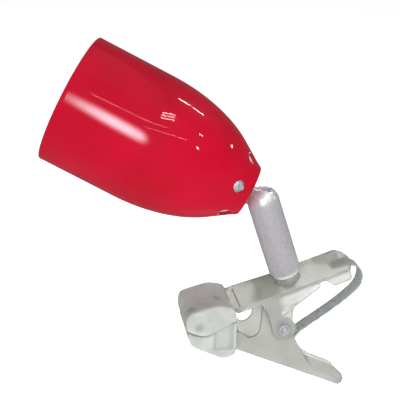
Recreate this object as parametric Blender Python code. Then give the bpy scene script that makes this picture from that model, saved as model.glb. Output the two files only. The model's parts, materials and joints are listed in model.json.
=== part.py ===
"""Clip-on reading lamp: a sprung clip with a swivelling arm and a tilting bullet shade.

Frame: +X runs from the clip's jaws to its handles, +Z is up, and the origin is the middle of the
closed jaws.  Clip pieces are drawn round the pivot pin, arm pieces round the swivel (local +Z up
the arm), head pieces round the tilt pin (local +Z from the shade's nose to its mouth).
"""
import math

import bmesh
import bpy
from mathutils import Euler, Matrix, Vector

MM = 0.001
GAP = 0.3 * MM

# Places and rest angles
PIVOT = Vector((38.0 * MM, 0.0, -3.0 * MM))
ARM_LEAN = math.radians(18.0)
ARM_SWIVEL = math.radians(20.0)
HEAD_TILT = math.radians(45.9)
SWIVEL_FACE = Vector((2.7 * MM, 0.0, 27.6 * MM))

# Clip
UPPER_HALF_WIDTH = 12.3 * MM
LOWER_HALF_WIDTH = 9.9 * MM
BOOT_HALF_WIDTH = 15.0 * MM
LEVER_WALL = 1.9 * MM
PLATE_THICKNESS = 2.4 * MM
EAR_RADIUS = 6.2 * MM
UPPER_SLOPE = math.radians(18.0)
LOWER_SLOPE = math.radians(-25.8)
UPPER_KNEE = (-2.1 * MM, 20.1 * MM)
LOWER_HEEL = (-23.6 * MM, -10.7 * MM)
UPPER_TIP = 36.0 * MM
LOWER_TIP = 36.0 * MM
UPPER_TIP_RADIUS = 20.0 * MM
LOWER_TIP_RADIUS = 11.5 * MM
LEVER_FRONT = -24.0 * MM
PIN_RADIUS = 1.5 * MM
PIN_HALF_LENGTH = 14.4 * MM
SLEEVE_RADIUS = 3.0 * MM
PEG_RADIUS = 1.6 * MM
PEGS = ((-44.0 * MM, 0.5 * MM), (-31.5 * MM, 2.0 * MM), (-38.0 * MM, -7.6 * MM))
TONGUE_HALF_WIDTHS = (10.0 * MM, 9.0 * MM)
POCKET_PLAY = 0.4 * MM
SPRING_HALF_WIDTH = 4.4 * MM
SPRING_THICKNESS = 0.8 * MM

# Side outlines round the pivot pin, in millimetres: (x, z, corner radius), then plain (x, z)
UPPER_BOOT = ((-50.5, 4.7, 1.0), (-50.3, 13.4, 4.0), (-34.8, 17.3, 9.0), (-26.1, 15.5, 3.0),
              (-24.4, 8.7, 1.0), (-41.5, 0.3, 10.0))
LOWER_BOOT = ((-50.6, 4.0, 1.0), (-41.5, -0.4, 10.0), (-24.6, 7.9, 1.0), (-24.8, -10.6, 2.5),
              (-31.0, -13.2, 5.0), (-47.4, -4.8, 5.0))
SPRING_ROUTE = ((27.0, 26.0), (32.5, 27.6), (37.4, 28.7), (41.3, 26.8), (43.0, 21.8), (40.8, 15.6),
                (33.4, 8.6), (23.0, 1.2), (13.0, -5.4), (8.4, -9.8), (8.4, -16.0), (12.2, -22.6),
                (17.4, -26.6))

# Arm
ARM_RADIUS = 8.0 * MM
ARM_LENGTH = 47.1 * MM
ARM_BORE = 6.2 * MM
BOSS_RADIUS = 6.4 * MM
COLLAR_HEIGHT = 2.4 * MM
SCREW_RADIUS = 1.9 * MM
SLOT_HALF_WIDTH = 2.4 * MM
SLOT_DEPTH = 7.5 * MM
SLOT_BACK = 5.2 * MM
TILT_PIN_RADIUS = 1.6 * MM

# Head, measured from the tilt pin towards the mouth
NOSE_Z = 8.8 * MM
SHADE_LENGTH = 97.2 * MM
SHADE_RADIUS = 32.3 * MM
NOSE_RADIUS = 12.4 * MM
NOSE_BEVEL = 0.8 * MM
CONE_LENGTH = 13.0 * MM
BARREL_LENGTH = 39.5 * MM
SHEET = 1.0 * MM
LUG_OFFSET = 1.6 * MM
LUG_HALF_WIDTH = 4.75 * MM
LUG_HALF_THICKNESS = 1.4 * MM
STEM_RADIUS = 3.6 * MM
NUT_CORNER = 5.2 * MM
GLAND_OFFSET = 7.3 * MM
VENT_RADIUS = 3.1 * MM
VENT_SLANT = 8.4 * MM
VENT_FIRST = math.radians(-66.0)
VENTS = 6
HOLDER_SCREWS = 3
HOLDER_Z = 21.4 * MM
HOLDER_RADIUS = 13.4 * MM
HOLDER_HEIGHT = 25.0 * MM
SOCKET_RADIUS = 8.2 * MM
CAP_RADIUS = 6.8 * MM
BULB_RADIUS = 19.5 * MM
BULB_LENGTH = 66.0 * MM
LEAD_RADIUS = 0.8 * MM
LEAD_ROUTE = ((1.0, 7.3, 9.2), (1.05, 7.3, 11.5), (1.6, 6.9, 14.2), (2.4, 4.4, 16.0), (2.9, 1.4, 16.3),
              (3.1, 0.2, 17.0))

# Sides of the turned shapes, and how far a cutter runs past what it cuts
ROUND = 24
SMALL = 12
SHADE_SIDES = 40
PAST = 20.0 * MM

FINISHES = {
    "red_lacquer": ((0.62, 0.01, 0.035), 0.25, 0.0),
    "silver_paint": ((0.62, 0.60, 0.64), 0.42, 0.8),
    "frosted_plastic": ((0.66, 0.70, 0.66), 0.45, 0.0),
    "soft_plastic": ((0.70, 0.73, 0.67), 0.55, 0.0),
    "spring_steel": ((0.45, 0.48, 0.46), 0.25, 1.0),
    "zinc_steel": ((0.72, 0.72, 0.73), 0.35, 1.0),
    "collar_plastic": ((0.82, 0.80, 0.80), 0.50, 0.0),
    "brass": ((0.78, 0.60, 0.28), 0.35, 1.0),
    "holder_plastic": ((0.88, 0.87, 0.84), 0.45, 0.0),
    "bulb_glass": ((0.90, 0.90, 0.90), 0.15, 0.0),
    "lead_sleeve": ((0.85, 0.84, 0.80), 0.60, 0.0),
}


# ---- general shapes ----------------------------------------------------------------------------

def finish(name):
    """Return the Principled material of that name, made on first use."""
    found = bpy.data.materials.get(name)
    if found:
        return found
    colour, roughness, metallic = FINISHES[name]
    made = bpy.data.materials.new(name)
    made.use_nodes = True
    shader = made.node_tree.nodes["Principled BSDF"]
    shader.inputs["Base Color"].default_value = (*colour, 1.0)
    shader.inputs["Roughness"].default_value = roughness
    shader.inputs["Metallic"].default_value = metallic
    return made


def place(name, bm, look, parent, turn=None):
    """Turn a bmesh into a named object under its parent; turn is applied to the mesh."""
    bmesh.ops.recalc_face_normals(bm, faces=bm.faces)
    if turn:
        bm.transform(turn)
    mesh = bpy.data.meshes.new(name)
    bm.to_mesh(mesh)
    bm.free()
    mesh.shade_smooth()
    mesh.set_sharp_from_angle(angle=math.radians(35.0))
    mesh.materials.append(finish(look))
    made = bpy.data.objects.new(name, mesh)
    made.parent = parent
    bpy.context.scene.collection.objects.link(made)
    return made


def turned_bm(outline, sides):
    """Spin an outline of (radius, height) points round Z; it closes on itself or on the axis."""
    bm = bmesh.new()
    verts = [bm.verts.new((radius, 0.0, height)) for radius, height in outline]
    edges = [bm.edges.new(pair) for pair in zip(verts, verts[1:])]
    if outline[0][0] > 0.0 or outline[-1][0] > 0.0:
        edges.append(bm.edges.new((verts[-1], verts[0])))
    bmesh.ops.spin(bm, geom=verts + edges, cent=(0, 0, 0), axis=(0, 0, 1),
                   angle=math.tau, steps=sides, use_merge=True)
    bmesh.ops.remove_doubles(bm, verts=bm.verts, dist=1e-7)
    return bm


def turned_bm_open(outline):
    """Spin an outline whose inner stretch ends on the axis, such as a blind tube."""
    bm = bmesh.new()
    verts = [bm.verts.new((radius, 0.0, height)) for radius, height in outline]
    top = next(i for i, (radius, _) in enumerate(outline) if radius == 0.0)
    edges = [bm.edges.new((verts[i], verts[i + 1])) for i in range(len(verts) - 1) if i != top]
    edges.append(bm.edges.new((verts[-1], verts[0])))
    bmesh.ops.spin(bm, geom=verts + edges, cent=(0, 0, 0), axis=(0, 0, 1),
                   angle=math.tau, steps=ROUND, use_merge=True)
    bmesh.ops.remove_doubles(bm, verts=bm.verts, dist=1e-7)
    return bm


def prism_bm(outline, low, high):
    """Extrude an outline of (x, z) points along Y from low to high."""
    bm = bmesh.new()
    face = bm.faces.new([bm.verts.new((x, low, z)) for x, z in outline])
    grown = bmesh.ops.extrude_face_region(bm, geom=[face])["geom"]
    bmesh.ops.translate(bm, vec=(0.0, high - low, 0.0),
                        verts=[item for item in grown if isinstance(item, bmesh.types.BMVert)])
    return bm


def across(outline, half_width):
    """Extrude an outline of (x, z) points to both sides of the middle plane."""
    return prism_bm(outline, -half_width, half_width)


def block_bm(size):
    """A box of that size round the origin, for cutting a groove."""
    bm = bmesh.new()
    bmesh.ops.create_cube(bm, size=1.0)
    bmesh.ops.scale(bm, vec=size, verts=bm.verts)
    return bm


def rod(radius, low, high):
    """Outline of a plain rod along Z."""
    return [(0.0, low), (radius, low), (radius, high), (0.0, high)]


def ring(inner, outer, low, high):
    """Outline of a plain ring round Z."""
    return [(inner, low), (outer, low), (outer, high), (inner, high)]


def arc(centre, radius, start, end, steps):
    """Points of an arc, with start and end in degrees."""
    angles = [math.radians(start + (end - start) * i / steps) for i in range(steps + 1)]
    return [(centre[0] + radius * math.cos(a), centre[1] + radius * math.sin(a)) for a in angles]


def rounded(corners, steps=4):
    """Round the corners of an outline; each corner is (x, z, radius) in millimetres."""
    points = []
    for i, (x, z, radius) in enumerate(corners):
        here = Vector((x, z))
        if radius == 0.0:
            points.append(here)
            continue
        back = (Vector(corners[i - 1][:2]) - here).normalized()
        ahead = (Vector(corners[(i + 1) % len(corners)][:2]) - here).normalized()
        half = back.angle(ahead) / 2.0
        reach = radius / math.tan(half)
        centre = here + (back + ahead).normalized() * radius / math.sin(half)
        first = here + back * reach - centre
        last = here + ahead * reach - centre
        sweep = first.angle_signed(last)
        for step in range(steps + 1):
            angle = -sweep * step / steps
            spoke = Matrix.Rotation(angle, 2) @ first
            points.append(centre + spoke)
    return [(point.x * MM, point.y * MM) for point in points]


def tool(name, bm, parent, turn=None):
    """A cutter or a piece to be joined on, which stays hidden."""
    helper = place("tool_" + name, bm, "zinc_steel", parent, turn)
    helper.hide_render = True
    helper.display_type = 'WIRE'
    return helper


def combine(target, helper, operation):
    """Join or cut the target with a hidden helper."""
    step = target.modifiers.new(helper.name, 'BOOLEAN')
    step.operation = operation
    step.object = helper
    step.solver = 'EXACT'


def cut(target, helper):
    """Take the helper's shape out of the target."""
    combine(target, helper, 'DIFFERENCE')


def join(target, helper):
    """Add the helper's shape to the target."""
    combine(target, helper, 'UNION')


def along_y(centre=(0.0, 0.0)):
    """Turn a shape spun round Z so that its axis is Y, at (x, z)."""
    turn = Matrix.Rotation(math.radians(-90.0), 4, 'X')
    return Matrix.Translation((centre[0], 0.0, centre[1])) @ turn


def guide(name, location, rotation, parent=None):
    """An empty that carries the pieces of one moving group."""
    empty = bpy.data.objects.new(name, None)
    empty.location = location
    empty.rotation_euler = rotation
    empty.parent = parent
    bpy.context.scene.collection.objects.link(empty)
    return empty


def start_afresh():
    """Empty the scene."""
    for old in list(bpy.data.objects):
        bpy.data.objects.remove(old, do_unlink=True)


# ---- clip --------------------------------------------------------------------------------------

def upper_top(x):
    """Height of the upper lever's top face behind its knee."""
    return UPPER_KNEE[1] + (x - UPPER_KNEE[0]) * math.tan(UPPER_SLOPE)


def lower_bottom(x):
    """Height of the lower lever's bottom face."""
    return LOWER_HEEL[1] + (x - LOWER_HEEL[0]) * math.tan(LOWER_SLOPE)


def tip_cutter(name, slope, tip, half_width, radius, parent):
    """Cutter that leaves a lever's handle end as an arc seen square to the plate."""
    span = math.degrees(math.asin(half_width * 1.04 / radius))
    deep = 4.0 * half_width
    plan = arc((-radius, 0.0), radius, -span, span, 10)
    plan += [(deep, half_width * 1.04), (deep, -half_width * 1.04)]
    bm = bmesh.new()
    face = bm.faces.new([bm.verts.new((x, y, -deep)) for x, y in plan])
    grown = bmesh.ops.extrude_face_region(bm, geom=[face])["geom"]
    bmesh.ops.translate(bm, vec=(0.0, 0.0, 2.0 * deep),
                        verts=[item for item in grown if isinstance(item, bmesh.types.BMVert)])
    turn = Matrix.Translation((tip[0], 0.0, tip[1])) @ Matrix.Rotation(-slope, 4, 'Y')
    return tool(name + "_tip", bm, parent, turn)


def make_upper_lever(clip, arm_turn):
    """Channel-section lever with two ears on the pin, a boss for the arm and a tongue."""
    front, knee = LEVER_FRONT, UPPER_KNEE
    end = UPPER_TIP + 1.0 * MM
    outline = [(front, 14.4 * MM), knee, (end, upper_top(end)),
               (end, 25.6 * MM), (32.3 * MM, 24.2 * MM), (25.1 * MM, 22.1 * MM),
               (20.7 * MM, 25.2 * MM), (18.5 * MM, 24.6 * MM), (6.4 * MM, 14.2 * MM),
               (4.7 * MM, 11.0 * MM), (4.4 * MM, 7.6 * MM)]
    outline += arc((0.0, 0.0), EAR_RADIUS, 45.0, -180.0, 16)
    outline += [(-7.2 * MM, 5.0 * MM), (-9.0 * MM, 11.0 * MM), (-11.5 * MM, 14.6 * MM),
                (front, 11.0 * MM)]
    lever = place("upper_lever", across(outline, UPPER_HALF_WIDTH), "frosted_plastic", clip)
    drop = PLATE_THICKNESS / math.cos(UPPER_SLOPE)
    below = [(front - 9.0 * MM, 12.4 * MM - drop), (knee[0], knee[1] - drop),
             (UPPER_TIP + 5.0 * MM, upper_top(UPPER_TIP + 5.0 * MM) - drop),
             (UPPER_TIP + 5.0 * MM, -12.0 * MM), (front - 9.0 * MM, -12.0 * MM)]
    cut(lever, tool("upper_channel", across(below, UPPER_HALF_WIDTH - LEVER_WALL), clip))
    tongue = [(front + 1.0 * MM, 14.2 * MM), (-46.0 * MM, 12.1 * MM), (-46.0 * MM, 9.7 * MM),
              (front + 1.0 * MM, 11.4 * MM)]
    join(lever, tool("upper_tongue", across(tongue, TONGUE_HALF_WIDTHS[0]), clip))
    for number, (x, y) in enumerate(PEGS):
        peg = turned_bm(rod(PEG_RADIUS, 10.6 * MM, 13.4 * MM), SMALL)
        join(lever, tool(f"peg_{number}", peg, clip, Matrix.Translation((x, y, 0.0))))
    boss = turned_bm(rod(BOSS_RADIUS, -7.0 * MM, -COLLAR_HEIGHT - GAP), ROUND)
    join(lever, tool("boss", boss, clip, arm_turn))
    hole = turned_bm(rod(SCREW_RADIUS + GAP, -12.0 * MM, 2.0 * MM), SMALL)
    cut(lever, tool("screw_hole", hole, clip, arm_turn))
    pin_hole = turned_bm(rod(PIN_RADIUS + GAP, -PAST, PAST), SMALL)
    cut(lever, tool("ear_hole", pin_hole, clip, along_y()))
    tip = (UPPER_TIP, upper_top(UPPER_TIP))
    cut(lever, tip_cutter("upper", UPPER_SLOPE, tip, UPPER_HALF_WIDTH, UPPER_TIP_RADIUS, clip))


def make_lower_lever(clip):
    """Channel-section lever between the upper lever's ears, with a tongue into its boot."""
    front = LOWER_HEEL[0] - 0.5 * MM
    end = LOWER_TIP + 1.0 * MM
    outline = [(front, lower_bottom(front)), (front, -0.2 * MM), (-20.6 * MM, -2.0 * MM)]
    outline += arc((-17.0 * MM, 0.6 * MM), 5.3 * MM, 260.0, 352.0, 5)
    outline += [(-11.2 * MM, 6.0 * MM), (-10.8 * MM, 11.0 * MM), (-8.6 * MM, 11.6 * MM),
                (-5.2 * MM, 6.6 * MM)]
    outline += arc((0.0, 0.0), EAR_RADIUS - 0.2 * MM, 105.0, -30.0, 10)
    outline += [(7.2 * MM, -8.0 * MM), (13.6 * MM, -21.1 * MM), (17.2 * MM, -25.6 * MM),
                (21.0 * MM, lower_bottom(21.0 * MM) + 3.9 * MM), (end, lower_bottom(end) + 3.8 * MM),
                (end, lower_bottom(end))]
    lever = place("lower_lever", across(outline, LOWER_HALF_WIDTH), "frosted_plastic", clip)
    rise = PLATE_THICKNESS / math.cos(LOWER_SLOPE)
    web = front + PLATE_THICKNESS
    beyond = LOWER_TIP + 5.0 * MM
    above = [(web, lower_bottom(web) + rise), (beyond, lower_bottom(beyond) + rise),
             (beyond, 20.0 * MM), (front - 2.0 * MM, 20.0 * MM), (front - 2.0 * MM, -2.0 * MM),
             (web, -2.0 * MM)]
    cut(lever, tool("lower_channel", across(above, LOWER_HALF_WIDTH - LEVER_WALL), clip))
    tongue = [(front + 1.0 * MM, -3.2 * MM), (-43.4 * MM, -2.5 * MM), (-43.4 * MM, -4.7 * MM),
              (front + 1.0 * MM, -6.4 * MM)]
    join(lever, tool("lower_tongue", across(tongue, TONGUE_HALF_WIDTHS[1]), clip))
    pin_hole = turned_bm(rod(PIN_RADIUS + GAP, -PAST, PAST), SMALL)
    cut(lever, tool("wall_hole", pin_hole, clip, along_y()))
    tip = (LOWER_TIP, lower_bottom(LOWER_TIP))
    cut(lever, tip_cutter("lower", LOWER_SLOPE, tip, LOWER_HALF_WIDTH, LOWER_TIP_RADIUS, clip))


def make_boots(clip):
    """Soft boots over the two tongues; their mouth faces grip."""
    upper = place("upper_jaw_boot", across(rounded(UPPER_BOOT), BOOT_HALF_WIDTH), "soft_plastic", clip)
    pocket = [(-20.0 * MM, 14.9 * MM), (-46.4 * MM, 12.45 * MM), (-46.4 * MM, 9.35 * MM),
              (-20.0 * MM, 10.9 * MM)]
    cut(upper, tool("upper_pocket", across(pocket, TONGUE_HALF_WIDTHS[0] + POCKET_PLAY), clip))
    for number, (x, y) in enumerate(PEGS):
        hole = turned_bm(rod(PEG_RADIUS + GAP, 11.0 * MM, 13.8 * MM), SMALL)
        cut(upper, tool(f"peg_hole_{number}", hole, clip, Matrix.Translation((x, y, 0.0))))
    lower_half = BOOT_HALF_WIDTH - 0.4 * MM
    lower = place("lower_jaw_boot", across(rounded(LOWER_BOOT), lower_half), "soft_plastic", clip)
    pocket = [(-20.0 * MM, -2.9 * MM), (-43.8 * MM, -2.15 * MM), (-43.8 * MM, -5.05 * MM),
              (-20.0 * MM, -6.9 * MM)]
    cut(lower, tool("lower_pocket", across(pocket, TONGUE_HALF_WIDTHS[1] + POCKET_PLAY), clip))
    window = [(-36.0 * MM, -7.6 * MM), (-26.6 * MM, -7.6 * MM), (-26.6 * MM, 12.0 * MM),
              (-36.0 * MM, 12.0 * MM)]
    inner = 12.0 * MM
    for side, low in (("near", -inner - 8.0 * MM), ("far", inner)):
        cut(lower, tool("recess_" + side, prism_bm(window, low, low + 8.0 * MM), clip))


def make_pivot(clip):
    """Headed pin through ears and walls, with a spacer sleeve and two washers."""
    far, head_foot = PIN_HALF_LENGTH + 0.2 * MM, 13.5 * MM
    pin = [(0.0, -PIN_HALF_LENGTH), (PIN_RADIUS - 0.4 * MM, -PIN_HALF_LENGTH),
           (PIN_RADIUS, 0.4 * MM - PIN_HALF_LENGTH), (PIN_RADIUS, head_foot),
           (2.7 * MM, head_foot), (2.3 * MM, far), (0.0, far)]
    place("pivot_pin", turned_bm(pin, SMALL), "zinc_steel", clip, along_y())
    sleeve = LOWER_HALF_WIDTH - LEVER_WALL - GAP
    place("pivot_sleeve", turned_bm(ring(PIN_RADIUS + GAP, SLEEVE_RADIUS, -sleeve, sleeve), SMALL),
          "zinc_steel", clip, along_y())
    thickness = 0.6 * MM
    for side, low in (("near", -UPPER_HALF_WIDTH - GAP - thickness), ("far", UPPER_HALF_WIDTH + GAP)):
        washer = ring(PIN_RADIUS + GAP, 2.9 * MM, low, low + thickness)
        place("pivot_washer_" + side, turned_bm(washer, SMALL), "zinc_steel", clip, along_y())


def smooth_route(corners, steps):
    """Points of a curve that passes through every corner (Catmull-Rom)."""
    ends = [corners[0] * 2 - corners[1]] + list(corners) + [corners[-1] * 2 - corners[-2]]
    points = []
    for a, b, c, d in zip(ends, ends[1:], ends[2:], ends[3:]):
        for step in range(steps):
            t = step / steps
            points.append(0.5 * ((2 * b) + (c - a) * t + (2 * a - 5 * b + 4 * c - d) * t * t
                                 + (3 * b - a - 3 * c + d) * t ** 3))
    return points + [corners[-1]]


def make_spring(clip):
    """Flat strip bent from under the upper handle round to the lower lever's floor."""
    route = smooth_route([Vector(point) * MM for point in SPRING_ROUTE], 3)
    left, right = [], []
    for i, point in enumerate(route):
        along = (route[min(i + 1, len(route) - 1)] - route[max(i - 1, 0)]).normalized()
        offset = Vector((-along.y, along.x)) * SPRING_THICKNESS / 2.0
        left.append(point + offset)
        right.append(point - offset)
    outline = [tuple(point) for point in left + right[::-1]]
    place("clip_spring", across(outline, SPRING_HALF_WIDTH), "spring_steel", clip)


# ---- swivel and arm ----------------------------------------------------------------------------

def make_swivel(swivel_frame, arm):
    """Collar and washers on the lever, screw and threaded foot in the arm."""
    bore = SCREW_RADIUS + GAP
    place("swivel_collar", turned_bm(ring(bore, BOSS_RADIUS + GAP, -COLLAR_HEIGHT, -GAP), ROUND),
          "collar_plastic", swivel_frame)
    under = -8.6 * MM
    place("swivel_washer", turned_bm(ring(bore, 4.4 * MM, under - 0.7 * MM, under), SMALL),
          "zinc_steel", swivel_frame)
    under -= 1.0 * MM
    place("swivel_spring_washer", turned_bm(ring(bore, 3.6 * MM, under - 0.8 * MM, under), SMALL),
          "spring_steel", swivel_frame)
    under -= 1.1 * MM
    face, head = under - 2.0 * MM, 3.5 * MM
    screw = [(0.0, face), (head - 0.9 * MM, face), (head, face + 0.8 * MM), (head, under),
             (SCREW_RADIUS, under), (SCREW_RADIUS, 10.0 * MM), (0.0, 10.0 * MM)]
    screw_head = place("swivel_screw", turned_bm(screw, SMALL), "zinc_steel", arm)
    groove = block_bm((10.0 * MM, 0.9 * MM, 2.0 * MM))
    cut(screw_head, tool("screw_groove", groove, arm, Matrix.Translation((0.0, 0.0, face))))
    foot = ring(bore, ARM_BORE - GAP, 0.4 * MM, 12.0 * MM)
    place("arm_foot_insert", turned_bm(foot, SMALL), "brass", arm)


def make_arm(arm):
    """Domed tube with a slot for the lug, a tilt pin and two friction washers."""
    dome_z = ARM_LENGTH - ARM_RADIUS
    outline = [(ARM_BORE, 0.0), (ARM_RADIUS - 0.4 * MM, 0.0), (ARM_RADIUS, 0.5 * MM)]
    outline += [(r, dome_z + h) for r, h in arc((0.0, 0.0), ARM_RADIUS, 0.0, 90.0, 7)]
    outline[-1] = (0.0, ARM_LENGTH)
    outline += [(0.0, 26.0 * MM), (ARM_BORE, 24.0 * MM)]
    tube = place("arm_tube", turned_bm_open(outline), "silver_paint", arm)
    slot = [(-12.0 * MM, dome_z - SLOT_DEPTH), (SLOT_BACK, dome_z - SLOT_DEPTH),
            (SLOT_BACK, ARM_LENGTH + 4.0 * MM), (-12.0 * MM, ARM_LENGTH + 4.0 * MM)]
    cut(tube, tool("arm_slot", prism_bm(slot, -SLOT_HALF_WIDTH, SLOT_HALF_WIDTH), arm))
    bore = turned_bm(rod(TILT_PIN_RADIUS + GAP, -6.3 * MM, 12.0 * MM), SMALL)
    cut(tube, tool("tilt_bore", bore, arm, along_y((0.0, dome_z))))
    place("tilt_pin", turned_bm(rod(TILT_PIN_RADIUS, -6.0 * MM, 7.0 * MM), SMALL), "zinc_steel", arm,
          along_y((0.0, dome_z)))
    thickness = 0.4 * MM
    for side, middle in (("near", -1.0), ("far", 1.0)):
        low = middle * (LUG_HALF_THICKNESS + GAP + thickness / 2.0) - thickness / 2.0
        washer = ring(TILT_PIN_RADIUS + GAP, 4.4 * MM, low, low + thickness)
        place("tilt_washer_" + side, turned_bm(washer, SMALL), "spring_steel", arm, along_y((0.0, dome_z)))


# ---- head --------------------------------------------------------------------------------------

def shade_radius(z):
    """Outer radius of the shade: a cone at the nose, an elliptic shoulder, then a barrel."""
    ahead = z - NOSE_Z
    shoulder_length = SHADE_LENGTH - BARREL_LENGTH
    half_axis = shoulder_length + 1.0 * MM
    join_r = SHADE_RADIUS * math.sqrt(1.0 - ((shoulder_length - CONE_LENGTH) / half_axis) ** 2)
    if ahead <= CONE_LENGTH:
        return NOSE_RADIUS + (join_r - NOSE_RADIUS) * ahead / CONE_LENGTH
    if ahead >= shoulder_length:
        return SHADE_RADIUS
    return SHADE_RADIUS * math.sqrt(1.0 - ((shoulder_length - ahead) / half_axis) ** 2)


def make_shade(head):
    """Spun sheet-metal bullet with a flat pierced nose and six teardrop vents."""
    mouth_z = NOSE_Z + SHADE_LENGTH
    heights = [NOSE_Z, NOSE_Z + CONE_LENGTH * 0.5, NOSE_Z + CONE_LENGTH]
    rise = SHADE_LENGTH - BARREL_LENGTH - CONE_LENGTH
    heights += [NOSE_Z + CONE_LENGTH + rise * (i / 8) for i in range(1, 9)]
    heights += [mouth_z]
    outer = [(shade_radius(z), z) for z in heights]
    inner = [(mouth_r - SHEET, z) for mouth_r, z in outer[3:]][::-1]
    slant = math.atan2(outer[2][0] - outer[0][0], CONE_LENGTH)
    step = SHEET / math.cos(slant)
    inner += [(outer[2][0] - step, outer[2][1]), (shade_radius(NOSE_Z + SHEET) - step, NOSE_Z + SHEET)]
    outer[0] = (shade_radius(NOSE_Z + NOSE_BEVEL), NOSE_Z + NOSE_BEVEL)
    outer.insert(0, (NOSE_RADIUS - NOSE_BEVEL, NOSE_Z))
    outline = [(STEM_RADIUS + GAP, NOSE_Z)] + outer + inner + [(STEM_RADIUS + GAP, NOSE_Z + SHEET)]
    shade = place("shade_shell", turned_bm(outline, SHADE_SIDES), "red_lacquer", head)
    gland = turned_bm(rod(2.8 * MM, NOSE_Z - 2.0 * MM, NOSE_Z + 3.0 * MM), SMALL)
    cut(shade, tool("gland_hole", gland, head, Matrix.Translation((0.0, GLAND_OFFSET, 0.0))))
    for number in range(VENTS):
        cut(shade, tool(f"vent_{number}", vent_bm(), head, vent_turn(number, slant)))
    return slant


def vent_turn(number, slant):
    """Place a shape drawn round Z so that Z is the cone's outward normal at a vent."""
    middle = NOSE_Z + VENT_SLANT * math.cos(slant)
    around = Matrix.Rotation(VENT_FIRST + number * math.tau / VENTS, 4, 'Z')
    out = Matrix.Translation((shade_radius(middle), 0.0, middle))
    return around @ out @ Matrix.Rotation(math.pi / 2 + slant, 4, 'Y')


def vent_bm():
    """Teardrop prism: a round hole drawn out to a point on the nose side (local +X)."""
    bm = bmesh.new()
    points = arc((0.0, 0.0), VENT_RADIUS, 40.0, 320.0, 12) + [(VENT_RADIUS * 1.32, 0.0)]
    face = bm.faces.new([bm.verts.new((x, y, -1.32 * MM)) for x, y in points])
    grown = bmesh.ops.extrude_face_region(bm, geom=[face])["geom"]
    bmesh.ops.translate(bm, vec=(0.0, 0.0, 5.0 * MM),
                        verts=[item for item in grown if isinstance(item, bmesh.types.BMVert)])
    return bm


def make_bracket(head, slant):
    """Pressed pan behind the vents, which carries the lampholder, and its three screws."""
    def below(travel, depth):
        z = NOSE_Z + travel * math.cos(slant) + depth * math.sin(slant)
        r = NOSE_RADIUS + travel * math.sin(slant) - depth * math.cos(slant)
        return (r, z)
    floor_low, floor_high = 20.1 * MM, 21.0 * MM
    skin, back = SHEET + 0.4 * MM, SHEET + 1.3 * MM
    outer_reach = (floor_low - NOSE_Z - skin * math.sin(slant)) / math.cos(slant)
    inner_reach = (floor_low - NOSE_Z - back * math.sin(slant)) / math.cos(slant)
    edge = below(outer_reach, skin)
    outline = [below(3.0 * MM, skin), edge, (edge[0], floor_high), (5.0 * MM, floor_high),
               (5.0 * MM, floor_low), below(inner_reach, back), below(3.0 * MM, back)]
    pan = place("holder_bracket", turned_bm(outline, ROUND), "zinc_steel", head)
    for number in range(HOLDER_SCREWS):
        turn = vent_turn(number * VENTS // HOLDER_SCREWS, slant)
        hole = turned_bm(rod(1.5 * MM + GAP, -4.5 * MM, 0.5 * MM), SMALL)
        cut(pan, tool(f"bracket_hole_{number}", hole, head, turn))
        shank = -SHEET - 0.1 * MM
        screw = [(0.0, -5.0 * MM), (1.5 * MM, -5.0 * MM), (1.5 * MM, shank), (2.5 * MM, shank),
                 (2.3 * MM, -0.35 * MM), (0.0, -0.25 * MM)]
        body = place(f"holder_screw_{number + 1}", turned_bm(screw, SMALL), "zinc_steel", head, turn)
        groove = block_bm((0.7 * MM, 8.0 * MM, 1.0 * MM))
        cut(body, tool(f"holder_groove_{number}", groove, head,
                       turn @ Matrix.Translation((0.0, 0.0, -0.35 * MM))))


def make_lug(head):
    """Flat tilting lug with a threaded stem, locked in the nose by a washer and a nut."""
    outline = arc((-LUG_OFFSET, 0.0), LUG_HALF_WIDTH, 180.0, 360.0, 12)
    shoulder = NOSE_Z - GAP
    outline += [(LUG_HALF_WIDTH - LUG_OFFSET, shoulder), (-LUG_HALF_WIDTH - LUG_OFFSET, shoulder)]
    lug = place("tilt_lug", prism_bm(outline, -LUG_HALF_THICKNESS, LUG_HALF_THICKNESS), "silver_paint", head)
    join(lug, tool("stem", turned_bm(rod(STEM_RADIUS, shoulder - GAP, NOSE_Z + 6.0 * MM), SMALL), head))
    eye = turned_bm(rod(TILT_PIN_RADIUS + GAP, -5.0 * MM, 5.0 * MM), SMALL)
    cut(lug, tool("lug_eye", eye, head, along_y((-LUG_OFFSET, 0.0))))
    low = NOSE_Z + SHEET + GAP
    place("lug_washer", turned_bm(ring(STEM_RADIUS + GAP, 4.4 * MM, low, low + 0.7 * MM), SMALL),
          "zinc_steel", head)
    low += 1.0 * MM
    nut = place("lug_nut", turned_bm(rod(NUT_CORNER, low, low + 2.4 * MM), 6), "brass", head)
    thread = turned_bm(rod(STEM_RADIUS + GAP, low - 1.0 * MM, low + 4.0 * MM), SMALL)
    cut(nut, tool("nut_thread", thread, head))


def make_gland(head):
    """Bush where the supply lead enters beside the lug."""
    outline = [(1.9 * MM, NOSE_Z - 1.3 * MM), (3.6 * MM, NOSE_Z - 1.3 * MM), (3.6 * MM, NOSE_Z - GAP),
               (2.5 * MM, NOSE_Z - GAP), (2.5 * MM, NOSE_Z + 3.0 * MM), (1.9 * MM, NOSE_Z + 3.0 * MM)]
    place("lead_gland", turned_bm(outline, SMALL), "collar_plastic", head,
          Matrix.Translation((0.0, GLAND_OFFSET, 0.0)))


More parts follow.
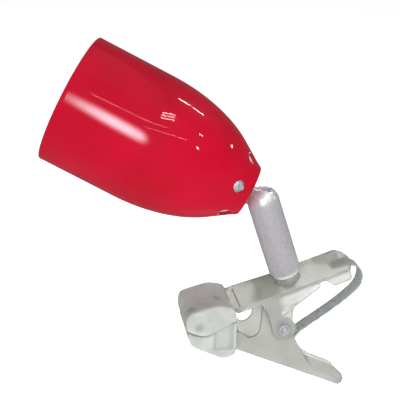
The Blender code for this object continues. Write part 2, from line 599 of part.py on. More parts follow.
def make_leads(head):
    """Two sleeved leads from the gland to the lampholder's posts."""
    for name, side in (("lead_live", 1.0), ("lead_neutral", -1.0)):
        route = [Vector((side * x, y, z)) * MM for x, y, z in LEAD_ROUTE]
        curve = bpy.data.curves.new(name, 'CURVE')
        curve.dimensions = '3D'
        curve.bevel_depth = LEAD_RADIUS
        curve.bevel_resolution = 2
        curve.use_fill_caps = True
        points = smooth_route(route, 3)
        spline = curve.splines.new('POLY')
        spline.points.add(len(points) - 1)
        for knot, point in zip(spline.points, points):
            knot.co = (*point, 1.0)
        curve.materials.append(finish("lead_sleeve"))
        lead = bpy.data.objects.new(name, curve)
        lead.parent = head
        bpy.context.scene.collection.objects.link(lead)
        post = rod(1.2 * MM, 18.0 * MM, 20.9 * MM)
        place("terminal_" + name[5:], turned_bm(post, SMALL), "brass", head,
              Matrix.Translation((side * 3.1 * MM, 0.0, 0.0)))


def make_lampholder(head):
    """Small-screw lampholder with its threaded sleeve and centre contact."""
    top = HOLDER_Z + HOLDER_HEIGHT
    floor = HOLDER_Z + 4.6 * MM
    outline = [(0.0, HOLDER_Z), (HOLDER_RADIUS - 2.0 * MM, HOLDER_Z), (HOLDER_RADIUS, HOLDER_Z + 2.0 * MM),
               (HOLDER_RADIUS, HOLDER_Z + 12.0 * MM), (HOLDER_RADIUS - 2.2 * MM, HOLDER_Z + 13.5 * MM),
               (HOLDER_RADIUS - 2.2 * MM, top), (SOCKET_RADIUS, top), (SOCKET_RADIUS, floor), (0.0, floor)]
    place("lamp_holder", turned_bm(outline, ROUND), "holder_plastic", head)
    place("centre_contact", turned_bm([(0.0, floor + GAP), (3.0 * MM, floor + GAP),
                                       (2.2 * MM, floor + 1.6 * MM), (0.0, floor + 1.6 * MM)], SMALL),
          "brass", head)
    place("socket_sleeve", turned_bm(ring(CAP_RADIUS + GAP, SOCKET_RADIUS - GAP, floor + 2.2 * MM,
                                          top - 1.0 * MM), ROUND), "brass", head)


def make_bulb(head):
    """Small reflector lamp: screw cap and a blown glass that flares to a domed face."""
    start = HOLDER_Z + 6.6 * MM
    cap_top = start + 19.0 * MM
    cap = [(0.0, start), (2.4 * MM, start), (3.2 * MM, start + 1.6 * MM), (CAP_RADIUS, start + 3.4 * MM),
           (CAP_RADIUS, cap_top - 0.5 * MM), (CAP_RADIUS - 0.4 * MM, cap_top), (0.0, cap_top)]
    place("bulb_cap", turned_bm(cap, SMALL), "brass", head)
    neck = cap_top + GAP
    front = start + BULB_LENGTH
    brim = front - 8.0 * MM
    waist = [(0.0, neck), (7.6 * MM, neck), (8.4 * MM, neck + 4.0 * MM)]
    flare_low, flare_high = neck + 9.0 * MM, brim - 3.0 * MM
    for step in range(6):
        share = step / 5
        radius = 9.2 * MM + (BULB_RADIUS - 9.2 * MM) * math.sin(share * math.pi / 2) ** 1.2
        waist.append((radius, flare_low + (flare_high - flare_low) * share))
    face = [(BULB_RADIUS * math.cos(a), brim + (front - brim) * math.sin(a))
            for a in [math.radians(18.0 * i) for i in range(5)]]
    place("bulb_glass", turned_bm(waist + face + [(0.0, front)], ROUND), "bulb_glass", head)


# ---- assembly ----------------------------------------------------------------------------------

def main():
    """Build the lamp, from the clip to the bulb."""
    start_afresh()
    clip = guide("clip_frame", PIVOT, (0.0, 0.0, 0.0))
    swivel_frame = guide("swivel_frame", SWIVEL_FACE, (0.0, -ARM_LEAN, 0.0), clip)
    arm = guide("arm_frame", (0.0, 0.0, 0.0), (0.0, 0.0, -ARM_SWIVEL), swivel_frame)
    tilt = guide("tilt_frame", (0.0, 0.0, ARM_LENGTH - ARM_RADIUS), (0.0, -HEAD_TILT, 0.0), arm)
    head = guide("head_frame", (LUG_OFFSET, 0.0, 0.0), (0.0, 0.0, 0.0), tilt)
    arm_turn = Matrix.Translation(SWIVEL_FACE) @ Euler((0.0, -ARM_LEAN, 0.0)).to_matrix().to_4x4()
    make_upper_lever(clip, arm_turn)
    make_lower_lever(clip)
    make_boots(clip)
    make_pivot(clip)
    make_spring(clip)
    make_swivel(swivel_frame, arm)
    make_arm(arm)
    slant = make_shade(head)
    make_bracket(head, slant)
    make_lug(head)
    make_gland(head)
    make_leads(head)
    make_lampholder(head)
    make_bulb(head)


main()
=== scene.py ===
"""Looks of the clip-on reading lamp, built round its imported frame.

Every length is in metres and in the frame's own axes.  Clip pieces are drawn round the clip's
hinge, arm pieces round the swivel with +Z up the arm, and head pieces round the tilt pin with
+Z from the shade's nose to its mouth.
"""
from __future__ import annotations

import json
import logging
import math
from dataclasses import dataclass, field
from enum import Enum
from typing import Any, Iterable, Sequence

import bmesh
import bpy
from mathutils import Euler, Matrix, Vector


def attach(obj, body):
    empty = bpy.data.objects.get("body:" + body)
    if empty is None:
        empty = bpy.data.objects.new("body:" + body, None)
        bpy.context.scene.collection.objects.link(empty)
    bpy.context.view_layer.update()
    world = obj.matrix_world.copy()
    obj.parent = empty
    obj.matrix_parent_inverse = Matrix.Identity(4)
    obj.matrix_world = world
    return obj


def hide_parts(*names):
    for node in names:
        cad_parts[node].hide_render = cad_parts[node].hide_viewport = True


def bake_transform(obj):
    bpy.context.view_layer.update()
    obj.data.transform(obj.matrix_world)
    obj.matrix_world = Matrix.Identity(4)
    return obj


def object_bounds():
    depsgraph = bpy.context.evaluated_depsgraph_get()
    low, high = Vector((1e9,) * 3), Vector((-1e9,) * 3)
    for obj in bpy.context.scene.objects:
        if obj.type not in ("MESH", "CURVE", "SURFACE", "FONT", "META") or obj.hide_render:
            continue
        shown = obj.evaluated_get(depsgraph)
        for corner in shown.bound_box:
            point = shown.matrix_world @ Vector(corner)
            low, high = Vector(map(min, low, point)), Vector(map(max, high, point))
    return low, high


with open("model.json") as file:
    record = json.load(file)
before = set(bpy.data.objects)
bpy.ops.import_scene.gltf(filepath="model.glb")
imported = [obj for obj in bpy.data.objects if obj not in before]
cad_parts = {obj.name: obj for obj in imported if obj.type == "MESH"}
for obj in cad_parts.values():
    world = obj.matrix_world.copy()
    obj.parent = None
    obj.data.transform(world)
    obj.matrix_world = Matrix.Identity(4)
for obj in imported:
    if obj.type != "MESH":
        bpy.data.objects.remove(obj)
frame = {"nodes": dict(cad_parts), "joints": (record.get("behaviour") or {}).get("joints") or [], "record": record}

CAD_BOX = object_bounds()
MM = 0.001
GAP = 0.3 * MM
log = logging.getLogger("clip_lamp")

Colour = tuple[float, float, float]
Outline = list[tuple[float, float]]


# ==== shader trees ===============================================================================

class Wire:
    """An output socket of a material's tree, with arithmetic that adds Math nodes."""

    def __init__(self, recipe: Recipe, socket: bpy.types.NodeSocket) -> None:
        """Keep the socket and the recipe that it belongs to."""
        self.recipe = recipe
        self.socket = socket

    def _math(self, operation: str, *terms: Wire | float) -> Wire:
        """Add one Math node over these terms."""
        return self.recipe.node("ShaderNodeMath", {"operation": operation}, dict(enumerate(terms)))

    def __add__(self, other: Wire | float) -> Wire:
        """Sum."""
        return self._math("ADD", self, other)

    def __radd__(self, other: float) -> Wire:
        """Sum, number first."""
        return self._math("ADD", other, self)

    def __sub__(self, other: Wire | float) -> Wire:
        """Difference."""
        return self._math("SUBTRACT", self, other)

    def __rsub__(self, other: float) -> Wire:
        """Difference, number first."""
        return self._math("SUBTRACT", other, self)

    def __mul__(self, other: Wire | float) -> Wire:
        """Product."""
        return self._math("MULTIPLY", self, other)

    def __rmul__(self, other: float) -> Wire:
        """Product, number first."""
        return self._math("MULTIPLY", other, self)

    def __pow__(self, other: float) -> Wire:
        """Power."""
        return self._math("POWER", self, other)

    def ramp(self, low: float, high: float, start: float = 0.0, end: float = 1.0) -> Wire:
        """Map low..high to start..end, clamped and smooth.

        Args:
            low: Value that becomes start.
            high: Value that becomes end.
            start: Result at low.
            end: Result at high.

        Returns:
            The mapped value.
        """
        settings = {"interpolation_type": "SMOOTHSTEP", "clamp": True}
        return self.recipe.node("ShaderNodeMapRange", settings,
                                {0: self, 1: low, 2: high, 3: start, 4: end})


class Recipe:
    """A material in the making: its Principled shader and the calls that feed it."""

    def __init__(self, name: str) -> None:
        """Start a material of that name.

        Args:
            name: The material's name.
        """
        self.material = bpy.data.materials.new(name)
        self.material.use_nodes = True
        self.tree = self.material.node_tree
        self.shader = self.tree.nodes["Principled BSDF"]

    def node(self, kind: str, settings: dict[str, Any] | None = None,
             sockets: dict[int | str, Any] | None = None, output: int | str = 0) -> Wire:
        """Add any node.

        Args:
            kind: The node's type name.
            settings: Properties, set before the sockets.
            sockets: Values or wires by socket name or number.
            output: Which output to give back.

        Returns:
            The chosen output.
        """
        made = self.tree.nodes.new(kind)
        for key, value in (settings or {}).items():
            setattr(made, key, value)
        for key, value in (sockets or {}).items():
            self._feed(made.inputs[key], value)
        return Wire(self, made.outputs[output])

    def _feed(self, socket: bpy.types.NodeSocket, value: Any) -> None:
        """Link a wire to a socket, or set its value.

        Args:
            socket: The input socket.
            value: A wire, a number, a colour or a vector.
        """
        if isinstance(value, Wire):
            self.tree.links.new(value.socket, socket)
        elif socket.type == "RGBA" and len(value) == 3:
            socket.default_value = (*value, 1.0)
        else:
            socket.default_value = value

    def dress(self, **sockets: Any) -> None:
        """Set or link the shader's sockets, named in lower case with underscores."""
        for key, value in sockets.items():
            name = key.replace("_", " ").title().replace("Ior", "IOR")
            self._feed(self.shader.inputs[name], value)

    def coords(self, turn: Matrix | None = None, stretch: Sequence[float] = (1.0, 1.0, 1.0)) -> Wire:
        """Object coordinates seen from a piece's own frame.

        Args:
            turn: The piece's frame; none for the object's own.
            stretch: Scale along each axis, applied last.

        Returns:
            The point.
        """
        point = self.node("ShaderNodeTexCoord", None, None, "Object")
        if turn is not None:
            place, rotation, _ = turn.decompose()
            settings = {"vector_type": "TEXTURE"}
            point = self.node("ShaderNodeMapping", settings,
                              {"Vector": point, "Location": place, "Rotation": rotation.to_euler()})
        return self.node("ShaderNodeMapping", None, {"Vector": point, "Scale": stretch})

    def split(self, point: Wire, axis: int) -> Wire:
        """One coordinate of a point."""
        return self.node("ShaderNodeSeparateXYZ", None, {0: point}, axis)

    def noise(self, point: Wire, size: float, detail: float = 2.0) -> Wire:
        """Soft noise whose features are about that many metres across."""
        return self.node("ShaderNodeTexNoise", None,
                         {"Vector": point, "Scale": 1.0 / size, "Detail": detail})

    def cells(self, point: Wire, size: float, output: str = "Color") -> Wire:
        """Random cells about that many metres across."""
        return self.node("ShaderNodeTexVoronoi", None,
                         {"Vector": point, "Scale": 1.0 / size}, output)

    def distance(self, point: Wire, centre: Sequence[float], keep: Sequence[float]) -> Wire:
        """Distance from a centre, counting only the axes that keep marks with 1.

        Args:
            point: The point that is measured.
            centre: Where the distance is 0.
            keep: 1 for each axis that counts, 0 for the others.

        Returns:
            The distance in metres.
        """
        offset = self.node("ShaderNodeVectorMath", {"operation": "SUBTRACT"}, {0: point, 1: centre})
        kept = self.node("ShaderNodeVectorMath", {"operation": "MULTIPLY"}, {0: offset, 1: keep})
        return self.node("ShaderNodeVectorMath", {"operation": "LENGTH"}, {0: kept}, "Value")

    def blend(self, factor: Wire | float, first: Wire | Colour, second: Wire | Colour) -> Wire:
        """Mix two colours."""
        return self.node("ShaderNodeMix", {"data_type": "RGBA"}, {0: factor, 6: first, 7: second}, 2)

    def bump(self, height: Wire, distance: float, strength: float = 1.0) -> Wire:
        """Bend the surface by a height whose 1 is that many metres."""
        return self.node("ShaderNodeBump", None,
                         {"Height": height, "Distance": distance, "Strength": strength})


class Slot(Enum):
    """The record's material slots."""

    LACQUER = "red_lacquer"
    SILVER = "silver_paint"
    FROSTED = "frosted_plastic"
    SOFT = "soft_plastic"
    SPRING = "spring_steel"
    ZINC = "zinc_steel"
    COLLAR = "collar_plastic"
    BRASS = "brass"
    HOLDER = "holder_plastic"
    GLASS = "bulb_glass"
    SLEEVE = "lead_sleeve"


# ==== finishes ===================================================================================

@dataclass(frozen=True)
class Lacquer:
    """Glossy stoved lacquer over spun sheet."""

    name: str = "crimson_lacquer"
    colour: Colour = (0.42, 0.0010, 0.019)
    deep: Colour = (0.36, 0.0008, 0.013)
    roughness: float = 0.40
    coat: float = 0.52

    def mix(self, turn: Matrix) -> bpy.types.Material:
        """Make the material for a piece in that frame.

        Args:
            turn: The head's frame, so that the spinning lines run round the shade.

        Returns:
            The material.
        """
        recipe = Recipe(self.name)
        point = recipe.coords(turn)
        cloud = recipe.noise(point, 28 * MM).ramp(0.3, 0.7)
        turned = recipe.noise(recipe.coords(turn, (0.02, 0.02, 1.0)), 0.9 * MM)
        peel = recipe.noise(point, 1.6 * MM, 1.0)
        dust = recipe.cells(point, 2.4 * MM, "Distance").ramp(0.0, 0.05, 1.0, 0.0)
        recipe.dress(base_color=recipe.blend(cloud, self.colour, self.deep),
                     roughness=self.roughness + cloud * 0.04 + dust * 0.2,
                     normal=recipe.bump(peel + turned * 0.25, 0.006 * MM),
                     specular_ior_level=0.05, coat_weight=self.coat, coat_roughness=0.04,
                     coat_ior=1.42)
        return recipe.material


@dataclass(frozen=True)
class PaleEnamel:
    """Satin pale enamel on the inside of the shade."""

    name: str = "pale_enamel"
    colour: Colour = (0.78, 0.77, 0.74)

    def mix(self, turn: Matrix) -> bpy.types.Material:
        """Make the material for a piece in that frame.

        Args:
            turn: The head's frame, whose +Z the rings run round.

        Returns:
            The material.
        """
        recipe = Recipe(self.name)
        point = recipe.coords(turn)
        rings = recipe.noise(recipe.coords(turn, (0.02, 0.02, 1.0)), 1.2 * MM)
        # Darker and yellower towards the nose, deep inside the shade.
        warm = recipe.split(point, 2).ramp(20 * MM, 60 * MM)
        tint = recipe.blend(warm, (0.66, 0.62, 0.55), self.colour)
        recipe.dress(base_color=tint, roughness=0.42 + rings * 0.15,
                     normal=recipe.bump(rings, 0.02 * MM))
        return recipe.material


@dataclass(frozen=True)
class FlakePaint:
    """Silver paint with visible metal flakes and a faint lilac cast."""

    name: str = "silver_flake_paint"
    light: Colour = (0.86, 0.84, 0.855)
    dark: Colour = (0.60, 0.585, 0.60)
    flake: float = 0.26 * MM

    def mix(self) -> bpy.types.Material:
        """Make the material.

        Returns:
            The material.
        """
        recipe = Recipe(self.name)
        point = recipe.coords()
        coarse = recipe.cells(point, self.flake)
        fine = recipe.cells(point, self.flake * 0.45)
        grain = recipe.split(coarse, 0) * 0.6 + recipe.split(fine, 1) * 0.4
        tint = recipe.blend(grain.ramp(0.15, 0.85), self.dark, self.light)
        warm = recipe.blend(recipe.split(coarse, 2).ramp(0.6, 1.0, 0.0, 0.35), tint,
                            (0.84, 0.76, 0.87))
        recipe.dress(base_color=warm, metallic=0.70, roughness=0.35 + grain * 0.12,
                     normal=recipe.bump(grain, 0.012 * MM, 0.6), coat_weight=0.08,
                     coat_roughness=0.30)
        return recipe.material


@dataclass(frozen=True)
class FrostedPlastic:
    """Milky moulded plastic that lets light and blurred shapes through."""

    name: str = "frosted_plastic"
    colour: Colour = (0.66, 0.675, 0.635)
    thick: Colour = (0.58, 0.585, 0.53)
    clear: float = 0.66
    roughness: float = 0.17

    def mix(self) -> bpy.types.Material:
        """Make the material.

        Returns:
            The material.
        """
        recipe = Recipe(self.name)
        point = recipe.coords()
        cloud = recipe.noise(point, 9 * MM, 3.0).ramp(0.35, 0.7)
        flow = recipe.noise(recipe.coords(None, (1.0, 1.0, 0.35)), 3.2 * MM, 4.0)
        grain = recipe.noise(point, 0.35 * MM, 2.0)
        specks = recipe.cells(point, 3.4 * MM, "Distance").ramp(0.02, 0.07, 1.0, 0.0)
        tint = recipe.blend(cloud * 0.8, self.colour, self.thick)
        recipe.dress(base_color=recipe.blend(specks * 0.30, tint, (0.42, 0.41, 0.36)),
                     roughness=self.roughness + flow * 0.12,
                     normal=recipe.bump(grain * 0.5 + flow, 0.05 * MM, 0.6),
                     transmission_weight=self.clear, subsurface_weight=0.75,
                     subsurface_radius=(4.2 * MM, 4.6 * MM, 4.0 * MM), subsurface_scale=1.0,
                     ior=1.46, specular_ior_level=0.45)
        return recipe.material


@dataclass(frozen=True)
class SoftBoot:
    """Soft milky boot, with painted shadows of the tongue's pegs as dim patches."""

    name: str = "soft_milky_boot"
    colour: Colour = (0.68, 0.705, 0.665)
    shaded: Colour = (0.58, 0.60, 0.55)
    # Colour of the painted shadows of the tongue's pegs.
    painted_peg_shadow: Colour = (0.34, 0.36, 0.29)

    def mix(self, painted_peg_shadows: Sequence[tuple[Vector, Sequence[float], float]]) -> bpy.types.Material:
        """Make the material.

        Args:
            painted_peg_shadows: Centre, kept axes and radius of each painted peg shadow.

        Returns:
            The material.
        """
        recipe = Recipe(self.name)
        point = recipe.coords()
        cloud = recipe.noise(point, 7 * MM, 3.0).ramp(0.35, 0.7)
        grain = recipe.noise(point, 0.5 * MM, 3.0)
        swirl = recipe.noise(point, 2.6 * MM, 3.0)
        tint = recipe.blend(cloud, self.colour, self.shaded)
        # Darken the colour round each peg: a painted shadow of the pegs seen through the boot.
        for centre, keep, radius in painted_peg_shadows:
            near = recipe.distance(point, centre, keep)
            tint = recipe.blend(near.ramp(radius * 0.35, radius * 1.3, 0.62, 0.0), tint, self.painted_peg_shadow)
        recipe.dress(base_color=tint, roughness=0.38 + swirl * 0.2,
                     normal=recipe.bump(grain * 0.35 + swirl, 0.09 * MM, 0.7),
                     transmission_weight=0.40, subsurface_weight=0.85,
                     subsurface_radius=(3.4 * MM, 3.8 * MM, 3.0 * MM), subsurface_scale=1.0,
                     ior=1.43, coat_weight=0.3, coat_roughness=0.24)
        return recipe.material


@dataclass(frozen=True)
class BareMetal:
    """Plain metal with fine lines along one axis, worn and tarnished in patches."""

    name: str
    colour: Colour
    tarnish: Colour
    roughness: float = 0.25
    lines: tuple[float, float, float] = (0.05, 1.0, 0.05)
    line_size: float = 0.25 * MM
    metallic: float = 1.0

    def mix(self) -> bpy.types.Material:
        """Make the material.

        Returns:
            The material.
        """
        recipe = Recipe(self.name)
        point = recipe.coords()
        patches = recipe.noise(point, 4.5 * MM, 3.0).ramp(0.42, 0.68)
        drawn = recipe.noise(recipe.coords(None, self.lines), self.line_size, 2.0)
        recipe.dress(base_color=recipe.blend(patches * 0.35, self.colour, self.tarnish),
                     metallic=self.metallic, roughness=self.roughness + patches * 0.04 + drawn * 0.06,
                     normal=recipe.bump(drawn, 0.0008 * MM, 0.5))
        return recipe.material


@dataclass(frozen=True)
class MouldedPlastic:
    """Opaque satin moulding."""

    name: str
    colour: Colour
    stain: Colour
    roughness: float = 0.45

    def mix(self) -> bpy.types.Material:
        """Make the material.

        Returns:
            The material.
        """
        recipe = Recipe(self.name)
        point = recipe.coords()
        cloud = recipe.noise(point, 5 * MM, 3.0).ramp(0.4, 0.75)
        grain = recipe.noise(point, 0.3 * MM, 2.0)
        recipe.dress(base_color=recipe.blend(cloud * 0.6, self.colour, self.stain),
                     roughness=self.roughness + grain * 0.15,
                     normal=recipe.bump(grain, 0.02 * MM), subsurface_weight=0.15,
                     subsurface_radius=(1.0 * MM, 1.0 * MM, 0.8 * MM), subsurface_scale=1.0)
        return recipe.material


@dataclass(frozen=True)
class BraidedSleeve:
    """Woven glass sleeving over the leads."""

    name: str = "braided_sleeve"
    pitch: float = 0.55 * MM

    def mix(self) -> bpy.types.Material:
        """Make the material.

        Returns:
            The material.
        """
        recipe = Recipe(self.name)
        point = recipe.coords()
        strands = recipe.cells(point, self.pitch, "Distance").ramp(0.1, 0.6)
        fuzz = recipe.noise(point, 0.2 * MM, 3.0)
        recipe.dress(base_color=recipe.blend(strands, (0.86, 0.85, 0.80), (0.58, 0.56, 0.50)),
                     roughness=0.7 + fuzz * 0.2, normal=recipe.bump(1 - strands, 0.12 * MM))
        return recipe.material


@dataclass(frozen=True)
class SilveredGlass:
    """Mirror-coated back of the reflector lamp."""

    name: str = "silvered_glass"

    def mix(self) -> bpy.types.Material:
        """Make the material.

        Returns:
            The material.
        """
        recipe = Recipe(self.name)
        point = recipe.coords()
        waves = recipe.noise(point, 6 * MM, 2.0)
        haze = recipe.noise(point, 2 * MM, 4.0).ramp(0.5, 0.8)
        recipe.dress(base_color=recipe.blend(haze * 0.5, (0.86, 0.86, 0.88), (0.62, 0.61, 0.60)),
                     metallic=0.95, roughness=0.08 + haze * 0.2,
                     normal=recipe.bump(waves, 0.06 * MM), coat_weight=0.6, coat_roughness=0.03)
        return recipe.material


@dataclass(frozen=True)
class FrostedGlass:
    """Etched white face of the lamp."""

    name: str = "frosted_glass"

    def mix(self, turn: Matrix) -> bpy.types.Material:
        """Make the material for a lamp in that frame.

        Args:
            turn: The head's frame, whose +Z runs through the lamp.

        Returns:
            The material.
        """
        recipe = Recipe(self.name)
        point = recipe.coords(turn)
        etch = recipe.noise(point, 0.25 * MM, 3.0)
        centre = recipe.distance(point, (0.0, 0.0, 0.0), (1.0, 1.0, 0.0)).ramp(2 * MM, 17 * MM)
        recipe.dress(base_color=recipe.blend(centre, (0.92, 0.91, 0.88), (0.84, 0.85, 0.86)),
                     roughness=0.38 + etch * 0.2, normal=recipe.bump(etch, 0.03 * MM),
                     subsurface_weight=0.5, subsurface_radius=(2 * MM, 2 * MM, 2 * MM),
                     subsurface_scale=1.0, coat_weight=0.3, coat_roughness=0.3)
        return recipe.material


@dataclass(frozen=True)
class PaperFloor:
    """Matt pale studio paper, lit from below as well."""

    name: str = "studio_paper"
    colour: Colour = (0.93, 0.93, 0.925)
    glow: float = 0.90

    def mix(self) -> bpy.types.Material:
        """Make the material.

        Returns:
            The material.
        """
        recipe = Recipe(self.name)
        fibre = recipe.noise(recipe.coords(), 1.5 * MM, 3.0)
        tint = recipe.blend(fibre * 0.15, self.colour, (0.90, 0.90, 0.895))
        recipe.dress(base_color=tint, emission_color=tint, emission_strength=self.glow,
                     roughness=0.92, specular_ior_level=0.1)
        return recipe.material


@dataclass(frozen=True)
class SoftGlow:
    """Light that fades from the middle of a panel to nothing at its edge."""

    name: str = "soft_glow"
    tint: Colour = (0.93, 0.93, 1.03)
    strength: float = 46.0

    def mix(self, turn: Matrix, size: tuple[float, float]) -> bpy.types.Material:
        """Make the material for a panel.

        Args:
            turn: The panel's frame.
            size: Its half width and half height.

        Returns:
            The material.
        """
        recipe = Recipe(self.name)
        point = recipe.coords(turn, (1.0 / size[0], 1.0 / size[1], 0.0))
        fade = recipe.distance(point, (0.0, 0.0, 0.0), (1.0, 1.0, 0.0)).ramp(0.05, 1.0, 1.0, 0.0)
        glow = recipe.blend(fade ** 2.0, (0.0, 0.0, 0.0), self.tint)
        recipe.dress(base_color=(0.0, 0.0, 0.0), specular_ior_level=0.0, roughness=1.0,
                     emission_color=glow, emission_strength=self.strength)
        return recipe.material


# ==== mesh making ================================================================================

def arc(centre: tuple[float, float], radius: float, start: float, end: float, steps: int) -> Outline:
    """Points of an arc.

    Args:
        centre: Middle of the arc.
        radius: Its radius.
        start: First angle in degrees.
        end: Last angle in degrees.
        steps: Number of stretches.

    Returns:
        The points, both ends included.
    """
    angles = [math.radians(start + (end - start) * i / steps) for i in range(steps + 1)]
    return [(centre[0] + radius * math.cos(a), centre[1] + radius * math.sin(a)) for a in angles]


def smooth_route(corners: Sequence[Vector], steps: int) -> list[Vector]:
    """Points of a curve that passes through every corner.

    Args:
        corners: The points that it passes through.
        steps: Points for each stretch.

    Returns:
        The curve's points.
    """
    ends = [corners[0] * 2 - corners[1], *corners, corners[-1] * 2 - corners[-2]]
    points = []
    for a, b, c, d in zip(ends, ends[1:], ends[2:], ends[3:]):
        for step in range(steps):
            t = step / steps
            points.append(0.5 * (2 * b + (c - a) * t + (2 * a - 5 * b + 4 * c - d) * t * t
                                 + (3 * b - a - 3 * c + d) * t ** 3))
    return points + [corners[-1]]


def turned(outline: Outline, sides: int) -> bmesh.types.BMesh:
    """Spin an outline round Z.

    Args:
        outline: Points of (radius, height); it closes on itself or on the axis.
        sides: Steps round the axis.

    Returns:
        The closed mesh.
    """
    bm = bmesh.new()
    verts = [bm.verts.new((radius, 0.0, height)) for radius, height in outline]
    pairs = [pair for pair in zip(verts, verts[1:]) if pair[0].co.x > 0.0 or pair[1].co.x > 0.0]
    edges = [bm.edges.new(pair) for pair in pairs]
    if outline[0][0] > 0.0 or outline[-1][0] > 0.0:
        edges.append(bm.edges.new((verts[-1], verts[0])))
    bmesh.ops.spin(bm, geom=verts + edges, cent=(0, 0, 0), axis=(0, 0, 1), angle=math.tau,
                   steps=sides, use_merge=True)
    bmesh.ops.remove_doubles(bm, verts=bm.verts, dist=1e-7)
    bmesh.ops.recalc_face_normals(bm, faces=bm.faces)
    return bm


def extruded(points: Iterable[Sequence[float]], reach: Sequence[float]) -> bmesh.types.BMesh:
    """Extrude a flat outline.

    Args:
        points: Its points, in order.
        reach: How far and which way it is extruded.

    Returns:
        The closed mesh.
    """
    bm = bmesh.new()
    face = bm.faces.new([bm.verts.new(point) for point in points])
    grown = bmesh.ops.extrude_face_region(bm, geom=[face])["geom"]
    moved = [item for item in grown if isinstance(item, bmesh.types.BMVert)]
    bmesh.ops.translate(bm, vec=reach, verts=moved)
    bmesh.ops.recalc_face_normals(bm, faces=bm.faces)
    return bm


def prism(outline: Iterable[tuple[float, float]], low: float, high: float) -> bmesh.types.BMesh:
    """Extrude an outline of (x, z) points along Y.

    Args:
        outline: The outline.
        low: Where it starts.
        high: Where it ends.

    Returns:
        The closed mesh.
    """
    return extruded([(x, low, z) for x, z in outline], (0.0, high - low, 0.0))


def beam(start: Vector, end: Vector, radius: float, sides: int = 12) -> bmesh.types.BMesh:
    """A round bar with domed ends between two points.

    Args:
        start: One end.
        end: The other end.
        radius: Radius of the bar.
        sides: Steps round it.

    Returns:
        The closed mesh.
    """
    along = end - start
    dome = [(radius * math.cos(a), radius * math.sin(a)) for a in
            [math.radians(-90.0 + 22.5 * i) for i in range(5)]]
    outline = [(max(r, 0.0) if i else 0.0, z) for i, (r, z) in enumerate(dome)]
    outline += [(r, along.length - z) for r, z in outline[::-1]]
    bm = turned(outline, sides)
    bm.transform(Matrix.Translation(start) @ along.to_track_quat("Z", "Y").to_matrix().to_4x4())
    return bm


def as_object(name: str, bm: bmesh.types.BMesh, turn: Matrix | None = None) -> bpy.types.Object:
    """Make an object from a bmesh, with its place in its mesh.

    Args:
        name: The piece's name.
        bm: Its mesh, which is freed.
        turn: The frame that it was drawn in.

    Returns:
        The object, at the origin.
    """
    if turn is not None:
        bm.transform(turn)
    mesh = bpy.data.meshes.new(name)
    bm.to_mesh(mesh)
    bm.free()
    made = bpy.data.objects.new(name, mesh)
    bpy.context.scene.collection.objects.link(made)
    return made


def settle(piece: bpy.types.Object) -> bpy.types.Object:
    """Turn a piece's modifiers into its plain mesh.

    Args:
        piece: The piece; a curve is replaced by a mesh object.

    Returns:
        The piece, with no modifiers left.
    """
    bpy.context.view_layer.update()
    graph = bpy.context.evaluated_depsgraph_get()
    mesh = bpy.data.meshes.new_from_object(piece.evaluated_get(graph))
    piece.modifiers.clear()
    if piece.type != "MESH":
        name = piece.name
        bpy.data.objects.remove(piece)
        piece = bpy.data.objects.new(name, mesh)
        bpy.context.scene.collection.objects.link(piece)
    piece.data = mesh
    mesh.name = piece.name
    return piece


def carve(target: bpy.types.Object, cutters: Sequence[bpy.types.Object]) -> None:
    """Cut closed shapes out of a piece and remove them.

    Args:
        target: The piece that is cut.
        cutters: The closed shapes.
    """
    for cutter in cutters:
        step = target.modifiers.new(cutter.name, "BOOLEAN")
        step.operation = "DIFFERENCE"
        step.object = cutter
    settle(target)
    for cutter in cutters:
        bpy.data.objects.remove(cutter)


def soften(piece: bpy.types.Object, voxel: float, passes: int) -> bpy.types.Object:
    """Merge a piece's bodies and round its edges as a mould does.

    Args:
        piece: The piece; overlapping bodies in it become one.
        voxel: Size of its new faces.
        passes: How often it is smoothed.

    Returns:
        The same piece.
    """
    remesh = piece.modifiers.new("merge", "REMESH")
    remesh.mode = "VOXEL"
    remesh.voxel_size = voxel
    smooth = piece.modifiers.new("round", "SMOOTH")
    smooth.factor = 0.5
    smooth.iterations = passes
    settle(piece)
    piece.data.shade_smooth()
    return piece


def node_copy(name: str, node: str, extras: Sequence[bmesh.types.BMesh] = ()) -> bpy.types.Object:
    """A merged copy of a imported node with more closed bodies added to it.

    Args:
        name: The new piece's name.
        node: The node that is copied.
        extras: Closed bodies, which are freed.

    Returns:
        The copy.
    """
    bm = bmesh.new()
    bm.from_mesh(frame["nodes"][node].data)
    bmesh.ops.remove_doubles(bm, verts=bm.verts, dist=1e-6)
    for extra in extras:
        spare = bpy.data.meshes.new("extra")
        extra.to_mesh(spare)
        extra.free()
        bm.from_mesh(spare)
        bpy.data.meshes.remove(spare)
    return as_object(name, bm)


def paint(piece: bpy.types.Object, *materials: bpy.types.Material) -> bpy.types.Object:
    """Give a piece its materials.

    Args:
        piece: The piece.
        materials: Its materials, in the order of its face indices.

    Returns:
        The same piece.
    """
    piece.data.materials.clear()
    for material in materials:
        piece.data.materials.append(material)
    return piece


def mount(piece: bpy.types.Object, body: str, slot: Slot, *nodes: str) -> None:
    """Hang a finished piece on its body, in place of its nodes.

    Args:
        piece: The finished piece.
        body: The body that it moves with.
        slot: The record's slot for its finish.
        nodes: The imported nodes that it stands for.
    """
    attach(piece, body)
    register(piece, slot, *nodes)


def register(piece: bpy.types.Object, slot: Slot, *nodes: str) -> None:
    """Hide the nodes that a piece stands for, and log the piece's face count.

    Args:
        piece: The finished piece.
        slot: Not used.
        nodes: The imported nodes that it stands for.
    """
    if nodes:
        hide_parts(*nodes)
    log.info("%s: %d faces", piece.name, len(piece.data.polygons))


def shade_by_angle(piece: bpy.types.Object, degrees: float = 35.0) -> bpy.types.Object:
    """Shade a piece smooth up to that angle between its faces.

    Args:
        piece: The piece.
        degrees: Sharper edges than this stay sharp.

    Returns:
        The same piece.
    """
    piece.data.shade_smooth()
    piece.data.set_sharp_from_angle(angle=math.radians(degrees))
    return piece


# ==== geometry nodes =============================================================================

